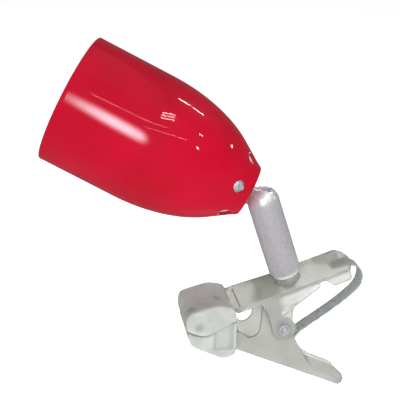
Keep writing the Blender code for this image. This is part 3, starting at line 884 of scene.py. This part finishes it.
class GeometryRecipe:
    """A Geometry Nodes tree with named inputs, run once into a plain mesh."""

    SOCKETS = {float: "NodeSocketFloat", int: "NodeSocketInt",
               bpy.types.Object: "NodeSocketObject", bpy.types.Material: "NodeSocketMaterial"}

    def __init__(self, name: str, **inputs: Any) -> None:
        """Start a tree whose inputs have these names and values.

        Args:
            name: Name of the tree and of its piece.
            inputs: Value of each named input.
        """
        self.name = name
        self.tree = bpy.data.node_groups.new(name, "GeometryNodeTree")
        sides = self.tree.interface
        sides.new_socket("Geometry", in_out="INPUT", socket_type="NodeSocketGeometry")
        sides.new_socket("Geometry", in_out="OUTPUT", socket_type="NodeSocketGeometry")
        self.values = {}
        for label, value in inputs.items():
            kind = next(made for base, made in self.SOCKETS.items() if isinstance(value, base))
            socket = sides.new_socket(label, in_out="INPUT", socket_type=kind)
            self.values[socket.identifier] = value
        self.entry = self.tree.nodes.new("NodeGroupInput")

    def given(self, label: str) -> bpy.types.NodeSocket:
        """The tree's input of that name."""
        return self.entry.outputs[label]

    def node(self, kind: str, settings: dict[str, Any] | None = None,
             sockets: dict[int | str, Any] | None = None,
             output: int | str = 0) -> bpy.types.NodeSocket:
        """Add a node.

        Args:
            kind: The node's type name.
            settings: Properties, set before the sockets.
            sockets: Values or output sockets by socket name or number.
            output: Which output to give back.

        Returns:
            The chosen output.
        """
        made = self.tree.nodes.new(kind)
        for key, value in (settings or {}).items():
            setattr(made, key, value)
        for key, value in (sockets or {}).items():
            if isinstance(value, bpy.types.NodeSocket):
                self.tree.links.new(value, made.inputs[key])
            else:
                made.inputs[key].default_value = value
        return made.outputs[output]

    def math(self, operation: str, first: Any, second: Any) -> bpy.types.NodeSocket:
        """Add one Math node."""
        return self.node("ShaderNodeMath", {"operation": operation}, {0: first, 1: second})

    def run(self, geometry: bpy.types.NodeSocket, carrier: bpy.types.Object | None = None,
            turn: Matrix | None = None) -> bpy.types.Object:
        """Close the tree, run it and give back its result as a plain mesh.

        Args:
            geometry: The geometry to give out; it is realised and gets the input Finish.
            carrier: An object whose own geometry the tree reads; it is removed.
            turn: The frame that the result was drawn in.

        Returns:
            The piece, at the origin.
        """
        real = self.node("GeometryNodeRealizeInstances", None, {"Geometry": geometry})
        done = self.node("GeometryNodeSetMaterial", None,
                         {"Geometry": real, "Material": self.given("Finish")})
        exit_node = self.tree.nodes.new("NodeGroupOutput")
        self.tree.links.new(done, exit_node.inputs[0])
        if carrier is None:
            carrier = bpy.data.objects.new(self.name, bpy.data.meshes.new(self.name))
            bpy.context.scene.collection.objects.link(carrier)
        carrier.name = self.name
        step = carrier.modifiers.new("build", "NODES")
        step.node_group = self.tree
        for identifier, value in self.values.items():
            step[identifier] = value
        piece = settle(carrier)
        if turn is not None:
            piece.data.transform(turn)
        return shade_by_angle(piece)


def ring_of(name: str, template: bpy.types.Object, finish: bpy.types.Material, count: int,
            radius: float, height: float, pitch: float, first: float,
            turn: Matrix) -> bpy.types.Object:
    """Copies of a template set round Z, each leaning outwards by the same angle.

    Args:
        name: The piece's name.
        template: What is repeated; its +Z becomes the outward direction. It is removed.
        finish: The material of the copies.
        count: How many.
        radius: Their distance from Z.
        height: Their height.
        pitch: Turn of each copy from +Z towards the outside, in radians.
        first: Angle of the first one, in radians.
        turn: The frame that they are drawn in.

    Returns:
        The piece.
    """
    recipe = GeometryRecipe(name, Finish=finish, Template=template, Count=count,
                            Radius=radius, Height=height, Pitch=pitch, First=first)
    index = recipe.node("GeometryNodeInputIndex")
    share = recipe.math("DIVIDE", index, recipe.given("Count"))
    angle = recipe.math("ADD", recipe.math("MULTIPLY", share, math.tau), recipe.given("First"))
    east = recipe.math("MULTIPLY", recipe.math("COSINE", angle, 0.0), recipe.given("Radius"))
    north = recipe.math("MULTIPLY", recipe.math("SINE", angle, 0.0), recipe.given("Radius"))
    place = recipe.node("ShaderNodeCombineXYZ", None, {0: east, 1: north, 2: recipe.given("Height")})
    points = recipe.node("GeometryNodePoints", None,
                         {"Count": recipe.given("Count"), "Position": place})
    facing = recipe.node("ShaderNodeCombineXYZ", None, {1: recipe.given("Pitch"), 2: angle})
    source = recipe.node("GeometryNodeObjectInfo", {"transform_space": "ORIGINAL"},
                         {"Object": recipe.given("Template")}, "Geometry")
    copies = recipe.node("GeometryNodeInstanceOnPoints", None,
                         {"Points": points, "Instance": source, "Rotation": facing})
    piece = recipe.run(copies, None, turn)
    bpy.data.objects.remove(template)
    return piece


# ==== frames =====================================================================================

@dataclass(frozen=True)
class Frames:
    """Where each group of pieces is drawn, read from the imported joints."""

    clip: Matrix
    swivel: Matrix
    arm: Matrix
    head: Matrix

    REST_TILT = math.radians(45.9)
    LUG_OFFSET = 1.6 * MM

    @classmethod
    def read(cls) -> Frames:
        """Work the frames out from the joints' places and axes.

        Returns:
            The frames of the clip, the swivel, the arm and the head.
        """
        joints = {joint["name"]: joint for joint in frame["joints"]}
        pivot, swivel, tilt = (joints[name] for name in ("clip_open", "arm_swivel", "head_tilt"))
        up = Vector(swivel["axis"]).normalized()
        across = Vector(tilt["axis"]).normalized()
        arm = Matrix.Translation(swivel["pos_m"]) @ cls.basis(across, up)
        head = Matrix.Translation(tilt["pos_m"]) @ cls.basis(across, up)
        return cls(clip=Matrix.Translation(pivot["pos_m"]),
                   swivel=Matrix.Translation(swivel["pos_m"]) @ cls.basis(Vector((0, 1, 0)), up),
                   arm=arm, head=head @ Matrix.Rotation(-cls.REST_TILT, 4, "Y")
                   @ Matrix.Translation((cls.LUG_OFFSET, 0.0, 0.0)))

    @staticmethod
    def basis(across: Vector, up: Vector) -> Matrix:
        """The rotation that has these as its Y and Z."""
        forward = across.cross(up)
        return Matrix((forward, across, up)).transposed().to_4x4()


# ==== the head ===================================================================================

@dataclass
class Head:
    """Bullet shade, its vent screws, the lug in its nose and the lamp inside."""

    turn: Matrix
    metal: bpy.types.Material
    nose: float = 8.8 * MM
    length: float = 97.2 * MM
    radius: float = 32.3 * MM
    nose_radius: float = 12.4 * MM
    cone: float = 13.0 * MM
    barrel: float = 39.5 * MM
    sheet: float = 1.0 * MM
    stem: float = 3.6 * MM
    gland_offset: float = 7.3 * MM
    vent_radius: float = 3.1 * MM
    vent_reach: float = 8.4 * MM
    vent_first: float = math.radians(-66.0)
    vents: int = 6
    screws: int = 3
    sides: int = 144
    bulb_radius: float = 19.5 * MM
    bulb_length: float = 66.0 * MM
    holder_low: float = 21.4 * MM
    holder_radius: float = 13.4 * MM
    holder_height: float = 25.0 * MM

    def width(self, height: float) -> float:
        """Outer radius at a height: a cone, an elliptic shoulder, then a barrel.

        Args:
            height: Distance from the tilt pin along the shade's axis.

        Returns:
            The radius.
        """
        ahead = height - self.nose
        shoulder = self.length - self.barrel
        reach = shoulder + 1.0 * MM
        seam = self.radius * math.sqrt(1.0 - ((shoulder - self.cone) / reach) ** 2)
        if ahead <= self.cone:
            return self.nose_radius + (seam - self.nose_radius) * ahead / self.cone
        if ahead >= shoulder:
            return self.radius
        return self.radius * math.sqrt(1.0 - ((shoulder - ahead) / reach) ** 2)

    @property
    def slant(self) -> float:
        """Angle of the cone's side from the shade's axis."""
        return math.atan2(self.width(self.nose + self.cone) - self.nose_radius, self.cone)

    def outline(self) -> Outline:
        """The sheet's section, from the nose's hole out to the rim and back inside.

        Returns:
            Points of (radius, height).
        """
        rim = self.nose + self.length
        corner = 1.4 * MM
        first, last = self.nose + corner, rim - self.sheet / 2.0
        steps = 56
        heights = [first + (last - first) * i / steps for i in range(steps + 1)]
        outer = [(self.width(z), z) for z in heights]
        inner = [(r - self.sheet, z + self.sheet * 0.4) for r, z in outer[::-1]]
        edge = arc((self.radius - self.sheet / 2.0, last), self.sheet / 2.0, 0.0, 180.0, 8)
        bend = self.width(first)
        nose = [(bend - corner * (1.0 - math.sin(a)), first - corner * math.cos(a))
                for a in [math.radians(18.0 * i) for i in range(5)]]
        bore = self.stem + GAP
        deep = self.nose + self.sheet
        inside = [(r, z) for r, z in inner[1:] if z > deep + 0.5 * MM]
        return [(bore, self.nose), *nose, *outer[1:], *edge[1:-1], *inside,
                (inside[-1][0] - 0.4 * MM, deep), (bore, deep)]

    def vent_place(self, number: int) -> Matrix:
        """Where a vent is, with +Z out of the cone and +X towards the nose.

        Args:
            number: Which vent, from 0.

        Returns:
            Its frame, seen from the head's.
        """
        middle = self.nose + self.vent_reach * math.cos(self.slant)
        around = Matrix.Rotation(self.vent_first + number * math.tau / self.vents, 4, "Z")
        out = Matrix.Translation((self.width(middle), 0.0, middle))
        return around @ out @ Matrix.Rotation(math.pi / 2 + self.slant, 4, "Y")

    def vent_cutter(self, number: int) -> bpy.types.Object:
        """A teardrop cutter: a round hole drawn out to a point on the nose side.

        Args:
            number: Which vent, from 0.

        Returns:
            The cutter, in place.
        """
        floor, depth = -1.6 * MM, 5.0 * MM
        point = (self.vent_radius * 1.32, 0.0)
        shape = arc((0.0, 0.0), self.vent_radius, 41.0, 319.0, 28) + [point]
        bm = extruded([(x, y, floor) for x, y in shape], (0.0, 0.0, depth))
        return as_object(f"vent_cutter_{number}", bm, self.turn @ self.vent_place(number))

    def make_shell(self) -> None:
        """Spin the shade, pierce it and lacquer it, with pale enamel inside."""
        shell = as_object("bullet_shade", turned(self.outline(), self.sides), self.turn)
        gland = as_object("gland_cutter",
                          turned([(0.0, self.nose - 2 * MM), (2.8 * MM, self.nose - 2 * MM),
                                  (2.8 * MM, self.nose + 3 * MM), (0.0, self.nose + 3 * MM)], 32),
                          self.turn @ Matrix.Translation((0.0, self.gland_offset, 0.0)))
        carve(shell, [gland] + [self.vent_cutter(i) for i in range(self.vents)])
        paint(shell, Lacquer().mix(self.turn), PaleEnamel().mix(self.turn))
        back = self.turn.inverted()
        for face in shell.data.polygons:
            centre = back @ face.center
            out = back.to_3x3() @ face.normal
            radial = Vector((centre.x, centre.y, 0.0))
            faces_in = out.dot(radial) < -0.35 * radial.length or (out.z > 0.8 and radial.length < 30 * MM)
            inside = radial.length < self.width(centre.z) - 0.6 * self.sheet
            face.material_index = 1 if faces_in and inside else 0
        shade_by_angle(shell, 30.0)
        mount(shell, "head", Slot.LACQUER, "shade_shell")

    def make_screws(self) -> None:
        """Domed slotted screws behind the vents."""
        head = [(0.0, -5.0 * MM), (1.5 * MM, -5.0 * MM), (1.5 * MM, -1.1 * MM), (2.3 * MM, -1.1 * MM)]
        head += [(2.3 * MM + 0.2 * MM * math.cos(a), -0.9 * MM + 0.2 * MM * math.sin(a))
                 for a in (-0.8, 0.0)]
        rise = 0.75 * MM
        head += [(2.5 * MM * math.cos(a), -0.9 * MM + rise * math.sin(a))
                 for a in [math.radians(15.0 * i) for i in range(1, 6)]]
        head += [(0.0, -0.9 * MM + rise)]
        screw = as_object("screw_template", turned(head, 40))
        slot = bmesh.new()
        bmesh.ops.create_cube(slot, size=1.0)
        bmesh.ops.scale(slot, vec=(0.7 * MM, 8.0 * MM, 2.0 * MM), verts=slot.verts)
        carve(screw, [as_object("slot_cutter", slot, Matrix.Rotation(0.35, 4, "Z"))])
        middle = self.nose + self.vent_reach * math.cos(self.slant)
        nodes = [f"holder_screw_{i + 1}" for i in range(self.screws)]
        screws = ring_of("vent_screws", screw, self.metal, self.screws, self.width(middle), middle,
                         math.pi / 2 + self.slant, self.vent_first, self.turn)
        mount(screws, "head", Slot.ZINC, *nodes)

    def make_lug(self, silver: bpy.types.Material) -> None:
        """The tilting lug, cast with soft edges.

        Args:
            silver: Its paint.
        """
        lug = soften(node_copy("tilting_lug", "tilt_lug"), 0.2 * MM, 3)
        mount(paint(lug, silver), "head", Slot.SILVER, "tilt_lug")

    def make_lamp(self) -> None:
        """The lamp's blown glass: silvered flare and frosted face."""
        neck = self.holder_low + 25.6 * MM + GAP
        front = self.holder_low + 6.6 * MM + self.bulb_length
        brim = front - 8.0 * MM
        glass: Outline = [(0.0, neck), (7.2 * MM, neck), (7.8 * MM, neck + 0.8 * MM),
                          (8.4 * MM, neck + 4.0 * MM)]
        low, high = neck + 9.0 * MM, brim - 3.0 * MM
        for step in range(25):
            share = step / 24
            swell = math.sin(share * math.pi / 2) ** 1.2
            glass.append((9.2 * MM + (self.bulb_radius - 9.2 * MM) * swell, low + (high - low) * share))
        glass += [(self.bulb_radius * math.cos(a), brim + (front - brim) * math.sin(a))
                  for a in [math.radians(5.0 * i) for i in range(18)]] + [(0.0, front)]
        bulb = as_object("reflector_lamp", turned(glass, 96), self.turn)
        paint(bulb, SilveredGlass().mix(), FrostedGlass().mix(self.turn))
        back = self.turn.inverted()
        for face in bulb.data.polygons:
            face.material_index = 1 if (back @ face.center).z > brim - 1.5 * MM else 0
        mount(shade_by_angle(bulb), "head", Slot.GLASS, "bulb_glass")

    def make_holder(self, plastic: bpy.types.Material) -> None:
        """The lampholder: a turned body with flutes round its skirt.

        Args:
            plastic: Its heatproof moulding.
        """
        low, wide = self.holder_low, self.holder_radius
        top, floor = low + self.holder_height, low + 4.6 * MM
        slim = wide - 2.2 * MM
        section = [(0.0, low), (wide - 2.0 * MM, low), *arc((wide - 2 * MM, low + 2 * MM), 2 * MM, -80, 0, 6),
                   (wide, low + 12.0 * MM), (slim, low + 13.5 * MM),
                   *arc((slim - 0.6 * MM, top - 0.6 * MM), 0.6 * MM, 0, 90, 4),
                   (8.2 * MM, top), (8.2 * MM, floor), (0.0, floor)]
        body = as_object("lamp_holder_body", turned(section, 72), self.turn)
        mount(shade_by_angle(paint(body, plastic)), "head", Slot.HOLDER, "lamp_holder")
        flute = as_object("flute_template", beam(Vector((0, 0, 0)), Vector((7.0 * MM, 0, 0)), 0.7 * MM))
        flutes = ring_of("lamp_holder_flutes", flute, plastic, 18, slim, low + 22.0 * MM,
                         math.pi / 2, 0.0, self.turn)
        mount(flutes, "head", Slot.HOLDER)

    def build(self, silver: bpy.types.Material, plastic: bpy.types.Material) -> None:
        """Make the shade, its screws, the lug, the lamp and the lampholder.

        Args:
            silver: Paint of the lug.
            plastic: Moulding of the lampholder.
        """
        self.make_shell()
        self.make_screws()
        self.make_lug(silver)
        self.make_lamp()
        self.make_holder(plastic)


# ==== the arm ====================================================================================

@dataclass
class Arm:
    """Domed tube with a slot for the lug, and the collar that it turns on."""

    frames: Frames
    radius: float = 8.0 * MM
    length: float = 47.1 * MM
    bore: float = 6.2 * MM
    slot_half: float = 2.4 * MM
    slot_depth: float = 7.5 * MM
    slot_back: float = 5.2 * MM
    pin: float = 1.6 * MM
    collar: float = 2.4 * MM

    def make_tube(self, silver: bpy.types.Material) -> None:
        """Turn the tube, cut its slot and bore, and round its edges.

        Args:
            silver: Its paint.
        """
        dome = self.length - self.radius
        outline = [(self.bore, 0.0), (self.radius - 0.5 * MM, 0.0), (self.radius, 0.6 * MM)]
        outline += [(r, dome + h) for r, h in arc((0.0, 0.0), self.radius, 0.0, 90.0, 20)][:-1]
        outline += [(0.0, self.length), (0.0, 26.0 * MM), (self.bore, 24.0 * MM)]
        tube = as_object("arm_shell", turned(outline, 96), self.frames.arm)
        over = self.length + 4.0 * MM
        slot = [(-12.0 * MM, dome - self.slot_depth), (self.slot_back, dome - self.slot_depth),
                (self.slot_back, over), (-12.0 * MM, over)]
        across = Matrix.Translation((0.0, 0.0, dome)) @ Matrix.Rotation(math.radians(-90.0), 4, "X")
        hole = self.pin + GAP
        bore = turned([(0.0, -6.3 * MM), (hole, -6.3 * MM), (hole, 12 * MM), (0.0, 12 * MM)], 32)
        carve(tube, [as_object("slot_cutter", prism(slot, -self.slot_half, self.slot_half), self.frames.arm),
                     as_object("bore_cutter", bore, self.frames.arm @ across)])
        soften(tube, 0.3 * MM, 3)
        mount(paint(tube, silver), "arm", Slot.SILVER, "arm_tube")

    def make_collar(self, plastic: bpy.types.Material) -> None:
        """Pale friction ring between the lever and the arm.

        Args:
            plastic: Its moulding.
        """
        inner, outer, edge = 2.2 * MM, 6.7 * MM, 0.5 * MM
        low, high = -self.collar, -GAP
        section = [(inner, low), *arc((outer - edge, low + edge), edge, -90, 0, 5),
                   *arc((outer - edge, high - edge), edge, 0, 90, 5), (inner, high)]
        ring = as_object("friction_collar", turned(section, 64), self.frames.swivel)
        mount(shade_by_angle(paint(ring, plastic)), "clip_upper", Slot.COLLAR, "swivel_collar")

    def build(self, silver: bpy.types.Material, plastic: bpy.types.Material) -> None:
        """Make the arm's pieces.

        Args:
            silver: Paint of the tube.
            plastic: Moulding of the collar.
        """
        self.make_tube(silver)
        self.make_collar(plastic)


# ==== the clip ===================================================================================

@dataclass
class Clip:
    """Two frosted levers, two soft boots, the strip spring and the pivot pin."""

    turn: Matrix
    ear: float = 12.3 * MM
    boot: float = 15.0 * MM
    spring_half: float = 4.4 * MM
    spring_thick: float = 0.8 * MM
    pin: float = 1.5 * MM
    pin_half: float = 14.4 * MM
    rib: tuple[tuple[float, float], tuple[float, float]] = ((17.2, 22.8), (-0.4, 9.6))
    lip: tuple[tuple[float, float], ...] = ((-49.6, 5.6), (-44.6, 2.9), (-40.5, 2.0), (-36.5, 3.3),
                                            (-30.0, 6.6), (-25.2, 9.2))
    spring: tuple[tuple[float, float], ...] = ((27.0, 26.0), (32.5, 27.6), (37.4, 28.7), (41.3, 26.8),
                                               (43.0, 21.8), (40.8, 15.6), (33.4, 8.6), (23.0, 1.2),
                                               (13.0, -5.4), (8.4, -9.8), (8.4, -16.0), (12.2, -22.6),
                                               (17.4, -26.6))
    pegs: tuple[tuple[float, float], ...] = ((-46.9, -9.5), (-33.4, -4.7))
    side_peg: tuple[float, float] = (-43.6, 6.6)

    def at(self, x: float, y: float, z: float) -> Vector:
        """A point beside the pivot pin, from millimetres."""
        return self.turn @ (Vector((x, y, z)) * MM)

    def make_levers(self, plastic: bpy.types.Material) -> None:
        """Both levers, with soft moulded edges, the upper one with edge ribs and a neck for its boot.

        Args:
            plastic: Their frosted moulding.
        """
        extras = []
        wide = self.ear / MM
        for side in (-1.0, 1.0):
            (x0, z0), (x1, z1) = self.rib
            extras.append(beam(self.at(x0, side * wide, z0), self.at(x1, side * wide, z1), 1.0 * MM))
        neck = prism([(-28.0, 11.2), (-28.0, 13.3), (-22.0, 15.0), (-22.0, 11.6)], -11.9, 11.9)
        neck.transform(self.turn @ Matrix.Scale(MM, 4))
        extras.append(neck)
        upper = soften(node_copy("upper_lever_moulding", "upper_lever", extras), 0.36 * MM, 4)
        mount(paint(upper, plastic), "clip_upper", Slot.FROSTED, "upper_lever")
        lower = soften(node_copy("lower_lever_moulding", "lower_lever"), 0.36 * MM, 4)
        mount(paint(lower, plastic), "clip_lower", Slot.FROSTED, "lower_lever")

    def make_boots(self) -> None:
        """Both boots, rounded all over, the upper one with a lip along its lower edge."""
        extras = []
        for side in (-1.0, 1.0):
            route = [self.at(x, side * (self.boot / MM - 0.5), z) for x, z in self.lip]
            points = smooth_route(route, 4)
            extras += [beam(a, b, 0.95 * MM, 10) for a, b in zip(points, points[1:])]
        # Painted shadows of the tongue's pegs: dim patches on the boot's top and on its side.
        painted_peg_shadows = [(self.at(x, y, 0.0), (1.0, 1.0, 0.0), 2.4 * MM) for x, y in self.pegs]
        x, z = self.side_peg
        painted_peg_shadows.append((self.at(x, 0.0, z), (1.0, 0.0, 1.0), 2.6 * MM))
        soft = SoftBoot().mix(painted_peg_shadows)
        upper = soften(node_copy("upper_boot", "upper_jaw_boot", extras), 0.4 * MM, 90)
        mount(paint(upper, soft), "clip_upper", Slot.SOFT, "upper_jaw_boot")
        lower = soften(node_copy("lower_boot", "lower_jaw_boot"), 0.4 * MM, 80)
        mount(paint(lower, soft), "clip_lower", Slot.SOFT, "lower_jaw_boot")

    def make_spring(self, steel: bpy.types.Material) -> None:
        """The bent strip, swept along its route, which follows both levers.

        Args:
            steel: Its metal.
        """
        curve = bpy.data.curves.new("strip_route", "CURVE")
        curve.dimensions = "3D"
        points = smooth_route([self.at(x, 0.0, z) for x, z in self.spring], 10)
        line = curve.splines.new("POLY")
        line.points.add(len(points) - 1)
        for knot, point in zip(line.points, points):
            knot.co = (*point, 1.0)
        route = bpy.data.objects.new("strip_route", curve)
        bpy.context.scene.collection.objects.link(route)
        recipe = GeometryRecipe("strip_spring", Finish=steel, Width=2 * self.spring_half,
                                Thickness=self.spring_thick, Edge=0.34 * MM)
        section = recipe.node("GeometryNodeCurvePrimitiveQuadrilateral", None,
                              {"Width": recipe.given("Width"), "Height": recipe.given("Thickness")})
        section = recipe.node("GeometryNodeFilletCurve", {"mode": "POLY"},
                              {"Curve": section, "Radius": recipe.given("Edge"), "Count": 4})
        strip = recipe.node("GeometryNodeCurveToMesh", None,
                            {"Curve": recipe.entry.outputs["Geometry"], "Profile Curve": section,
                             "Fill Caps": True})
        piece = recipe.run(strip, route)
        piece.data.validate()
        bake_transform(piece)
        register(piece, Slot.SPRING, "clip_spring")

    def make_pin(self, metal: bpy.types.Material) -> None:
        """The hinge pin: a domed head at one end and a chamfered tip at the other.

        Args:
            metal: Its metal.
        """
        far, foot, dome = self.pin_half + 0.2 * MM, 13.5 * MM, 2.7 * MM
        section = [(0.0, -self.pin_half), (self.pin - 0.5 * MM, -self.pin_half),
                   (self.pin, -self.pin_half + 0.5 * MM), (self.pin, foot), (dome, foot)]
        section += [(dome * math.cos(a), foot + (far - foot) * math.sin(a))
                    for a in [math.radians(15.0 * i) for i in range(1, 6)]] + [(0.0, far)]
        pin = as_object("hinge_pin", turned(section, 48),
                        self.turn @ Matrix.Rotation(math.radians(-90.0), 4, "X"))
        mount(shade_by_angle(paint(pin, metal)), "clip_upper", Slot.ZINC, "pivot_pin")

    def build(self, plastic: bpy.types.Material, steel: bpy.types.Material,
              metal: bpy.types.Material) -> None:
        """Make the clip's pieces.

        Args:
            plastic: Moulding of the levers.
            steel: Metal of the spring.
            metal: Metal of the pin.
        """
        self.make_levers(plastic)
        self.make_boots()
        self.make_spring(steel)
        self.make_pin(metal)


# ==== the studio =================================================================================

@dataclass(frozen=True)
class Softbox:
    """One soft light, placed by where it stands and what it faces."""

    name: str
    place: tuple[float, float, float]
    size: tuple[float, float]
    radiance: float
    long_axis: tuple[float, float, float] = (1.0, 0.0, 0.0)
    aim: tuple[float, float, float] = (-0.03, 0.0, 0.09)
    mirrored: bool = True

    def light(self) -> None:
        """Hang the light."""
        lamp = bpy.data.lights.new(self.name, "AREA")
        lamp.shape = "RECTANGLE"
        lamp.size, lamp.size_y = self.size
        lamp.energy = self.radiance * math.pi * self.size[0] * self.size[1]
        back = (Vector(self.place) - Vector(self.aim)).normalized()
        side = (Vector(self.long_axis) - back * back.dot(Vector(self.long_axis))).normalized()
        holder = bpy.data.objects.new(self.name, lamp)
        holder.matrix_world = (Matrix.Translation(self.place)
                               @ Matrix((side, back.cross(side), back)).transposed().to_4x4())
        holder.visible_glossy = self.mirrored
        bpy.context.scene.collection.objects.link(holder)


@dataclass
class Studio:
    """Pale floor, soft lights, plain world and camera."""

    drop: float = 0.07
    azimuth: float = math.radians(-10.0)
    elevation: float = math.radians(20.0)
    distance: float = 0.42
    lens: float = 72.9
    aim: tuple[float, float, float] = (0.00196, 0.02762, 0.05454)
    boxes: list[Softbox] = field(default_factory=lambda: [
        Softbox("top_bank", (-0.10, 0.10, 1.15), (1.3, 1.3), 0.25),
        Softbox("clip_fill", (0.04, -0.60, 0.70), (0.40, 0.40), 5.5, (1.0, 0.0, 0.0),
                (0.02, 0.0, 0.0), False),
        Softbox("upper_strip_a", (0.535, 0.180, 0.806), (0.09, 0.020), 95.0, (0.69, -0.14, -0.71),
                (-0.011, -0.0035, 0.1135)),
        Softbox("upper_strip_b", (0.622, 0.164, 0.732), (0.10, 0.020), 95.0, (0.69, -0.14, -0.71),
                (-0.006, -0.005, 0.110)),
        Softbox("line_a", (0.08, -0.705, 0.672), (0.30, 0.008), 22.0, (0.98, 0.1, -0.15),
                (-0.032, -0.012, 0.110)),
        Softbox("line_b", (0.18, -0.762, 0.540), (0.46, 0.008), 22.0, (0.97, 0.23, -0.12),
                (-0.021, -0.015, 0.102)),
        Softbox("spot_a", (0.603, -0.430, 0.616), (0.05, 0.025), 60.0, (0.6, 0.5, -0.4),
                (-0.006, -0.013, 0.100)),
        Softbox("spot_b", (0.482, -0.706, 0.403), (0.030, 0.045), 70.0, (0.8, 0.5, -0.3),
                (-0.007, -0.016, 0.095)),
        Softbox("spot_c", (0.858, 0.013, 0.393), (0.03, 0.07), 40.0, (0.3, 0.1, -0.9),
                (0.010, -0.009, 0.093)),
    ])

    def floor(self) -> None:
        """Lay the paper below the lamp, which is held by its clip."""
        half = 6.0
        level = CAD_BOX[0].z - self.drop
        bm = bmesh.new()
        bmesh.ops.create_grid(bm, x_segments=4, y_segments=4, size=half)
        paper = as_object("studio_floor", bm, Matrix.Translation((0.0, 0.0, level)))
        paint(paper, PaperFloor().mix())
        paper.visible_glossy = False

    def louvre(self) -> None:
        """Three thin parallel lights high on the right."""
        along = Vector((0.175, 0.11, -0.03)).normalized()
        step = Vector((-0.030, -0.066, -0.031))
        for number in range(3):
            middle = Vector((0.331, -0.454, 0.810)) + step * (number - 1)
            Softbox(f"louvre_{number}", tuple(middle), (0.17, 0.011), 75.0, tuple(along),
                    (-0.020, -0.011, 0.109)).light()

    def window(self) -> None:
        """Hang the main light beside the camera, as a panel that glows most in its middle."""
        place, aim = Vector((-0.224, -0.885, 0.365)), Vector((-0.047, -0.011, 0.109))
        half = (0.17, 0.30)
        back = (place - aim).normalized()
        side = Vector((0.93, -0.24, -0.30))
        side = (side - back * back.dot(side)).normalized()
        turn = Matrix.Translation(place) @ Matrix((side, back.cross(side), back)).transposed().to_4x4()
        bm = bmesh.new()
        corners = [bm.verts.new((half[0] * x, half[1] * y, 0.0))
                   for x, y in ((-1, 1), (1, 1), (1, -1), (-1, -1))]
        bm.faces.new(corners)
        panel = paint(as_object("front_window", bm, turn), SoftGlow().mix(turn, half))
        panel.visible_camera = False
        panel.visible_shadow = False

    def world(self) -> None:
        """Even grey-white surroundings."""
        world = bpy.data.worlds.new("studio_air")
        world.use_nodes = True
        world.node_tree.nodes["Background"].inputs["Color"].default_value = (1.0, 1.0, 1.0, 1.0)
        world.node_tree.nodes["Background"].inputs["Strength"].default_value = 0.15
        bpy.context.scene.world = world

    def camera(self) -> None:
        """Stand the camera in front, a little left and above."""
        data = bpy.data.cameras.new("studio_camera")
        data.lens = self.lens
        data.clip_start = 0.01
        camera = bpy.data.objects.new("studio_camera", data)
        back = Vector((math.sin(self.azimuth) * math.cos(self.elevation),
                       -math.cos(self.azimuth) * math.cos(self.elevation), math.sin(self.elevation)))
        camera.location = Vector(self.aim) + back * self.distance
        camera.rotation_euler = Euler((math.pi / 2 - self.elevation, 0.0, self.azimuth))
        bpy.context.scene.collection.objects.link(camera)
        bpy.context.scene.camera = camera

    def build(self) -> None:
        """Set the stage."""
        bpy.context.scene.view_settings.view_transform = "Standard"
        self.floor()
        self.world()
        for box in self.boxes:
            box.light()
        self.louvre()
        self.window()
        self.camera()


# ==== assembly ===================================================================================

def dress_nodes(finishes: dict[Slot, bpy.types.Material]) -> None:
    """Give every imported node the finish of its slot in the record.

    Args:
        finishes: The material of each slot.
    """
    for part in frame["record"]["subparts"]:
        node = frame["nodes"][part["node"]]
        paint(node, finishes[Slot(part["material_slot"])])


def main() -> None:
    """Build the looks, group by group."""
    logging.basicConfig(level=logging.INFO, format="%(name)s: %(message)s")
    frames = Frames.read()
    Studio().build()
    steel = BareMetal("greenish_strip_steel", (0.72, 0.77, 0.74), (0.58, 0.62, 0.59), 0.24, metallic=0.6)
    even = (1.0, 1.0, 1.0)
    zinc = BareMetal("bright_zinc", (0.66, 0.66, 0.70), (0.50, 0.50, 0.54), 0.30, even, metallic=0.6)
    brass = BareMetal("plain_brass", (0.78, 0.58, 0.27), (0.50, 0.36, 0.17), 0.30, even)
    finishes = {
        Slot.LACQUER: Lacquer("crimson_lacquer_spare").mix(frames.head),
        Slot.SILVER: FlakePaint().mix(),
        Slot.FROSTED: FrostedPlastic().mix(),
        Slot.SOFT: SoftBoot("soft_milky_spare").mix(()),
        Slot.SPRING: steel.mix(),
        Slot.ZINC: zinc.mix(),
        Slot.COLLAR: MouldedPlastic("pale_collar", (0.60, 0.59, 0.59), (0.50, 0.49, 0.49)).mix(),
        Slot.BRASS: brass.mix(),
        Slot.HOLDER: MouldedPlastic("heatproof_white", (0.86, 0.85, 0.81), (0.74, 0.71, 0.64)).mix(),
        Slot.GLASS: SilveredGlass("silvered_spare").mix(),
        Slot.SLEEVE: BraidedSleeve().mix(),
    }
    dress_nodes(finishes)
    pan = BareMetal("white_zinc_pan", (0.60, 0.60, 0.63), (0.50, 0.50, 0.54), 0.40, even, metallic=0.1)
    paint(frame["nodes"]["holder_bracket"], pan.mix())
    Head(frames.head, finishes[Slot.ZINC]).build(finishes[Slot.SILVER], finishes[Slot.HOLDER])
    Arm(frames).build(finishes[Slot.SILVER], finishes[Slot.COLLAR])
    Clip(frames.clip).build(finishes[Slot.FROSTED], finishes[Slot.SPRING], finishes[Slot.ZINC])


if __name__ == "__main__":
    main()
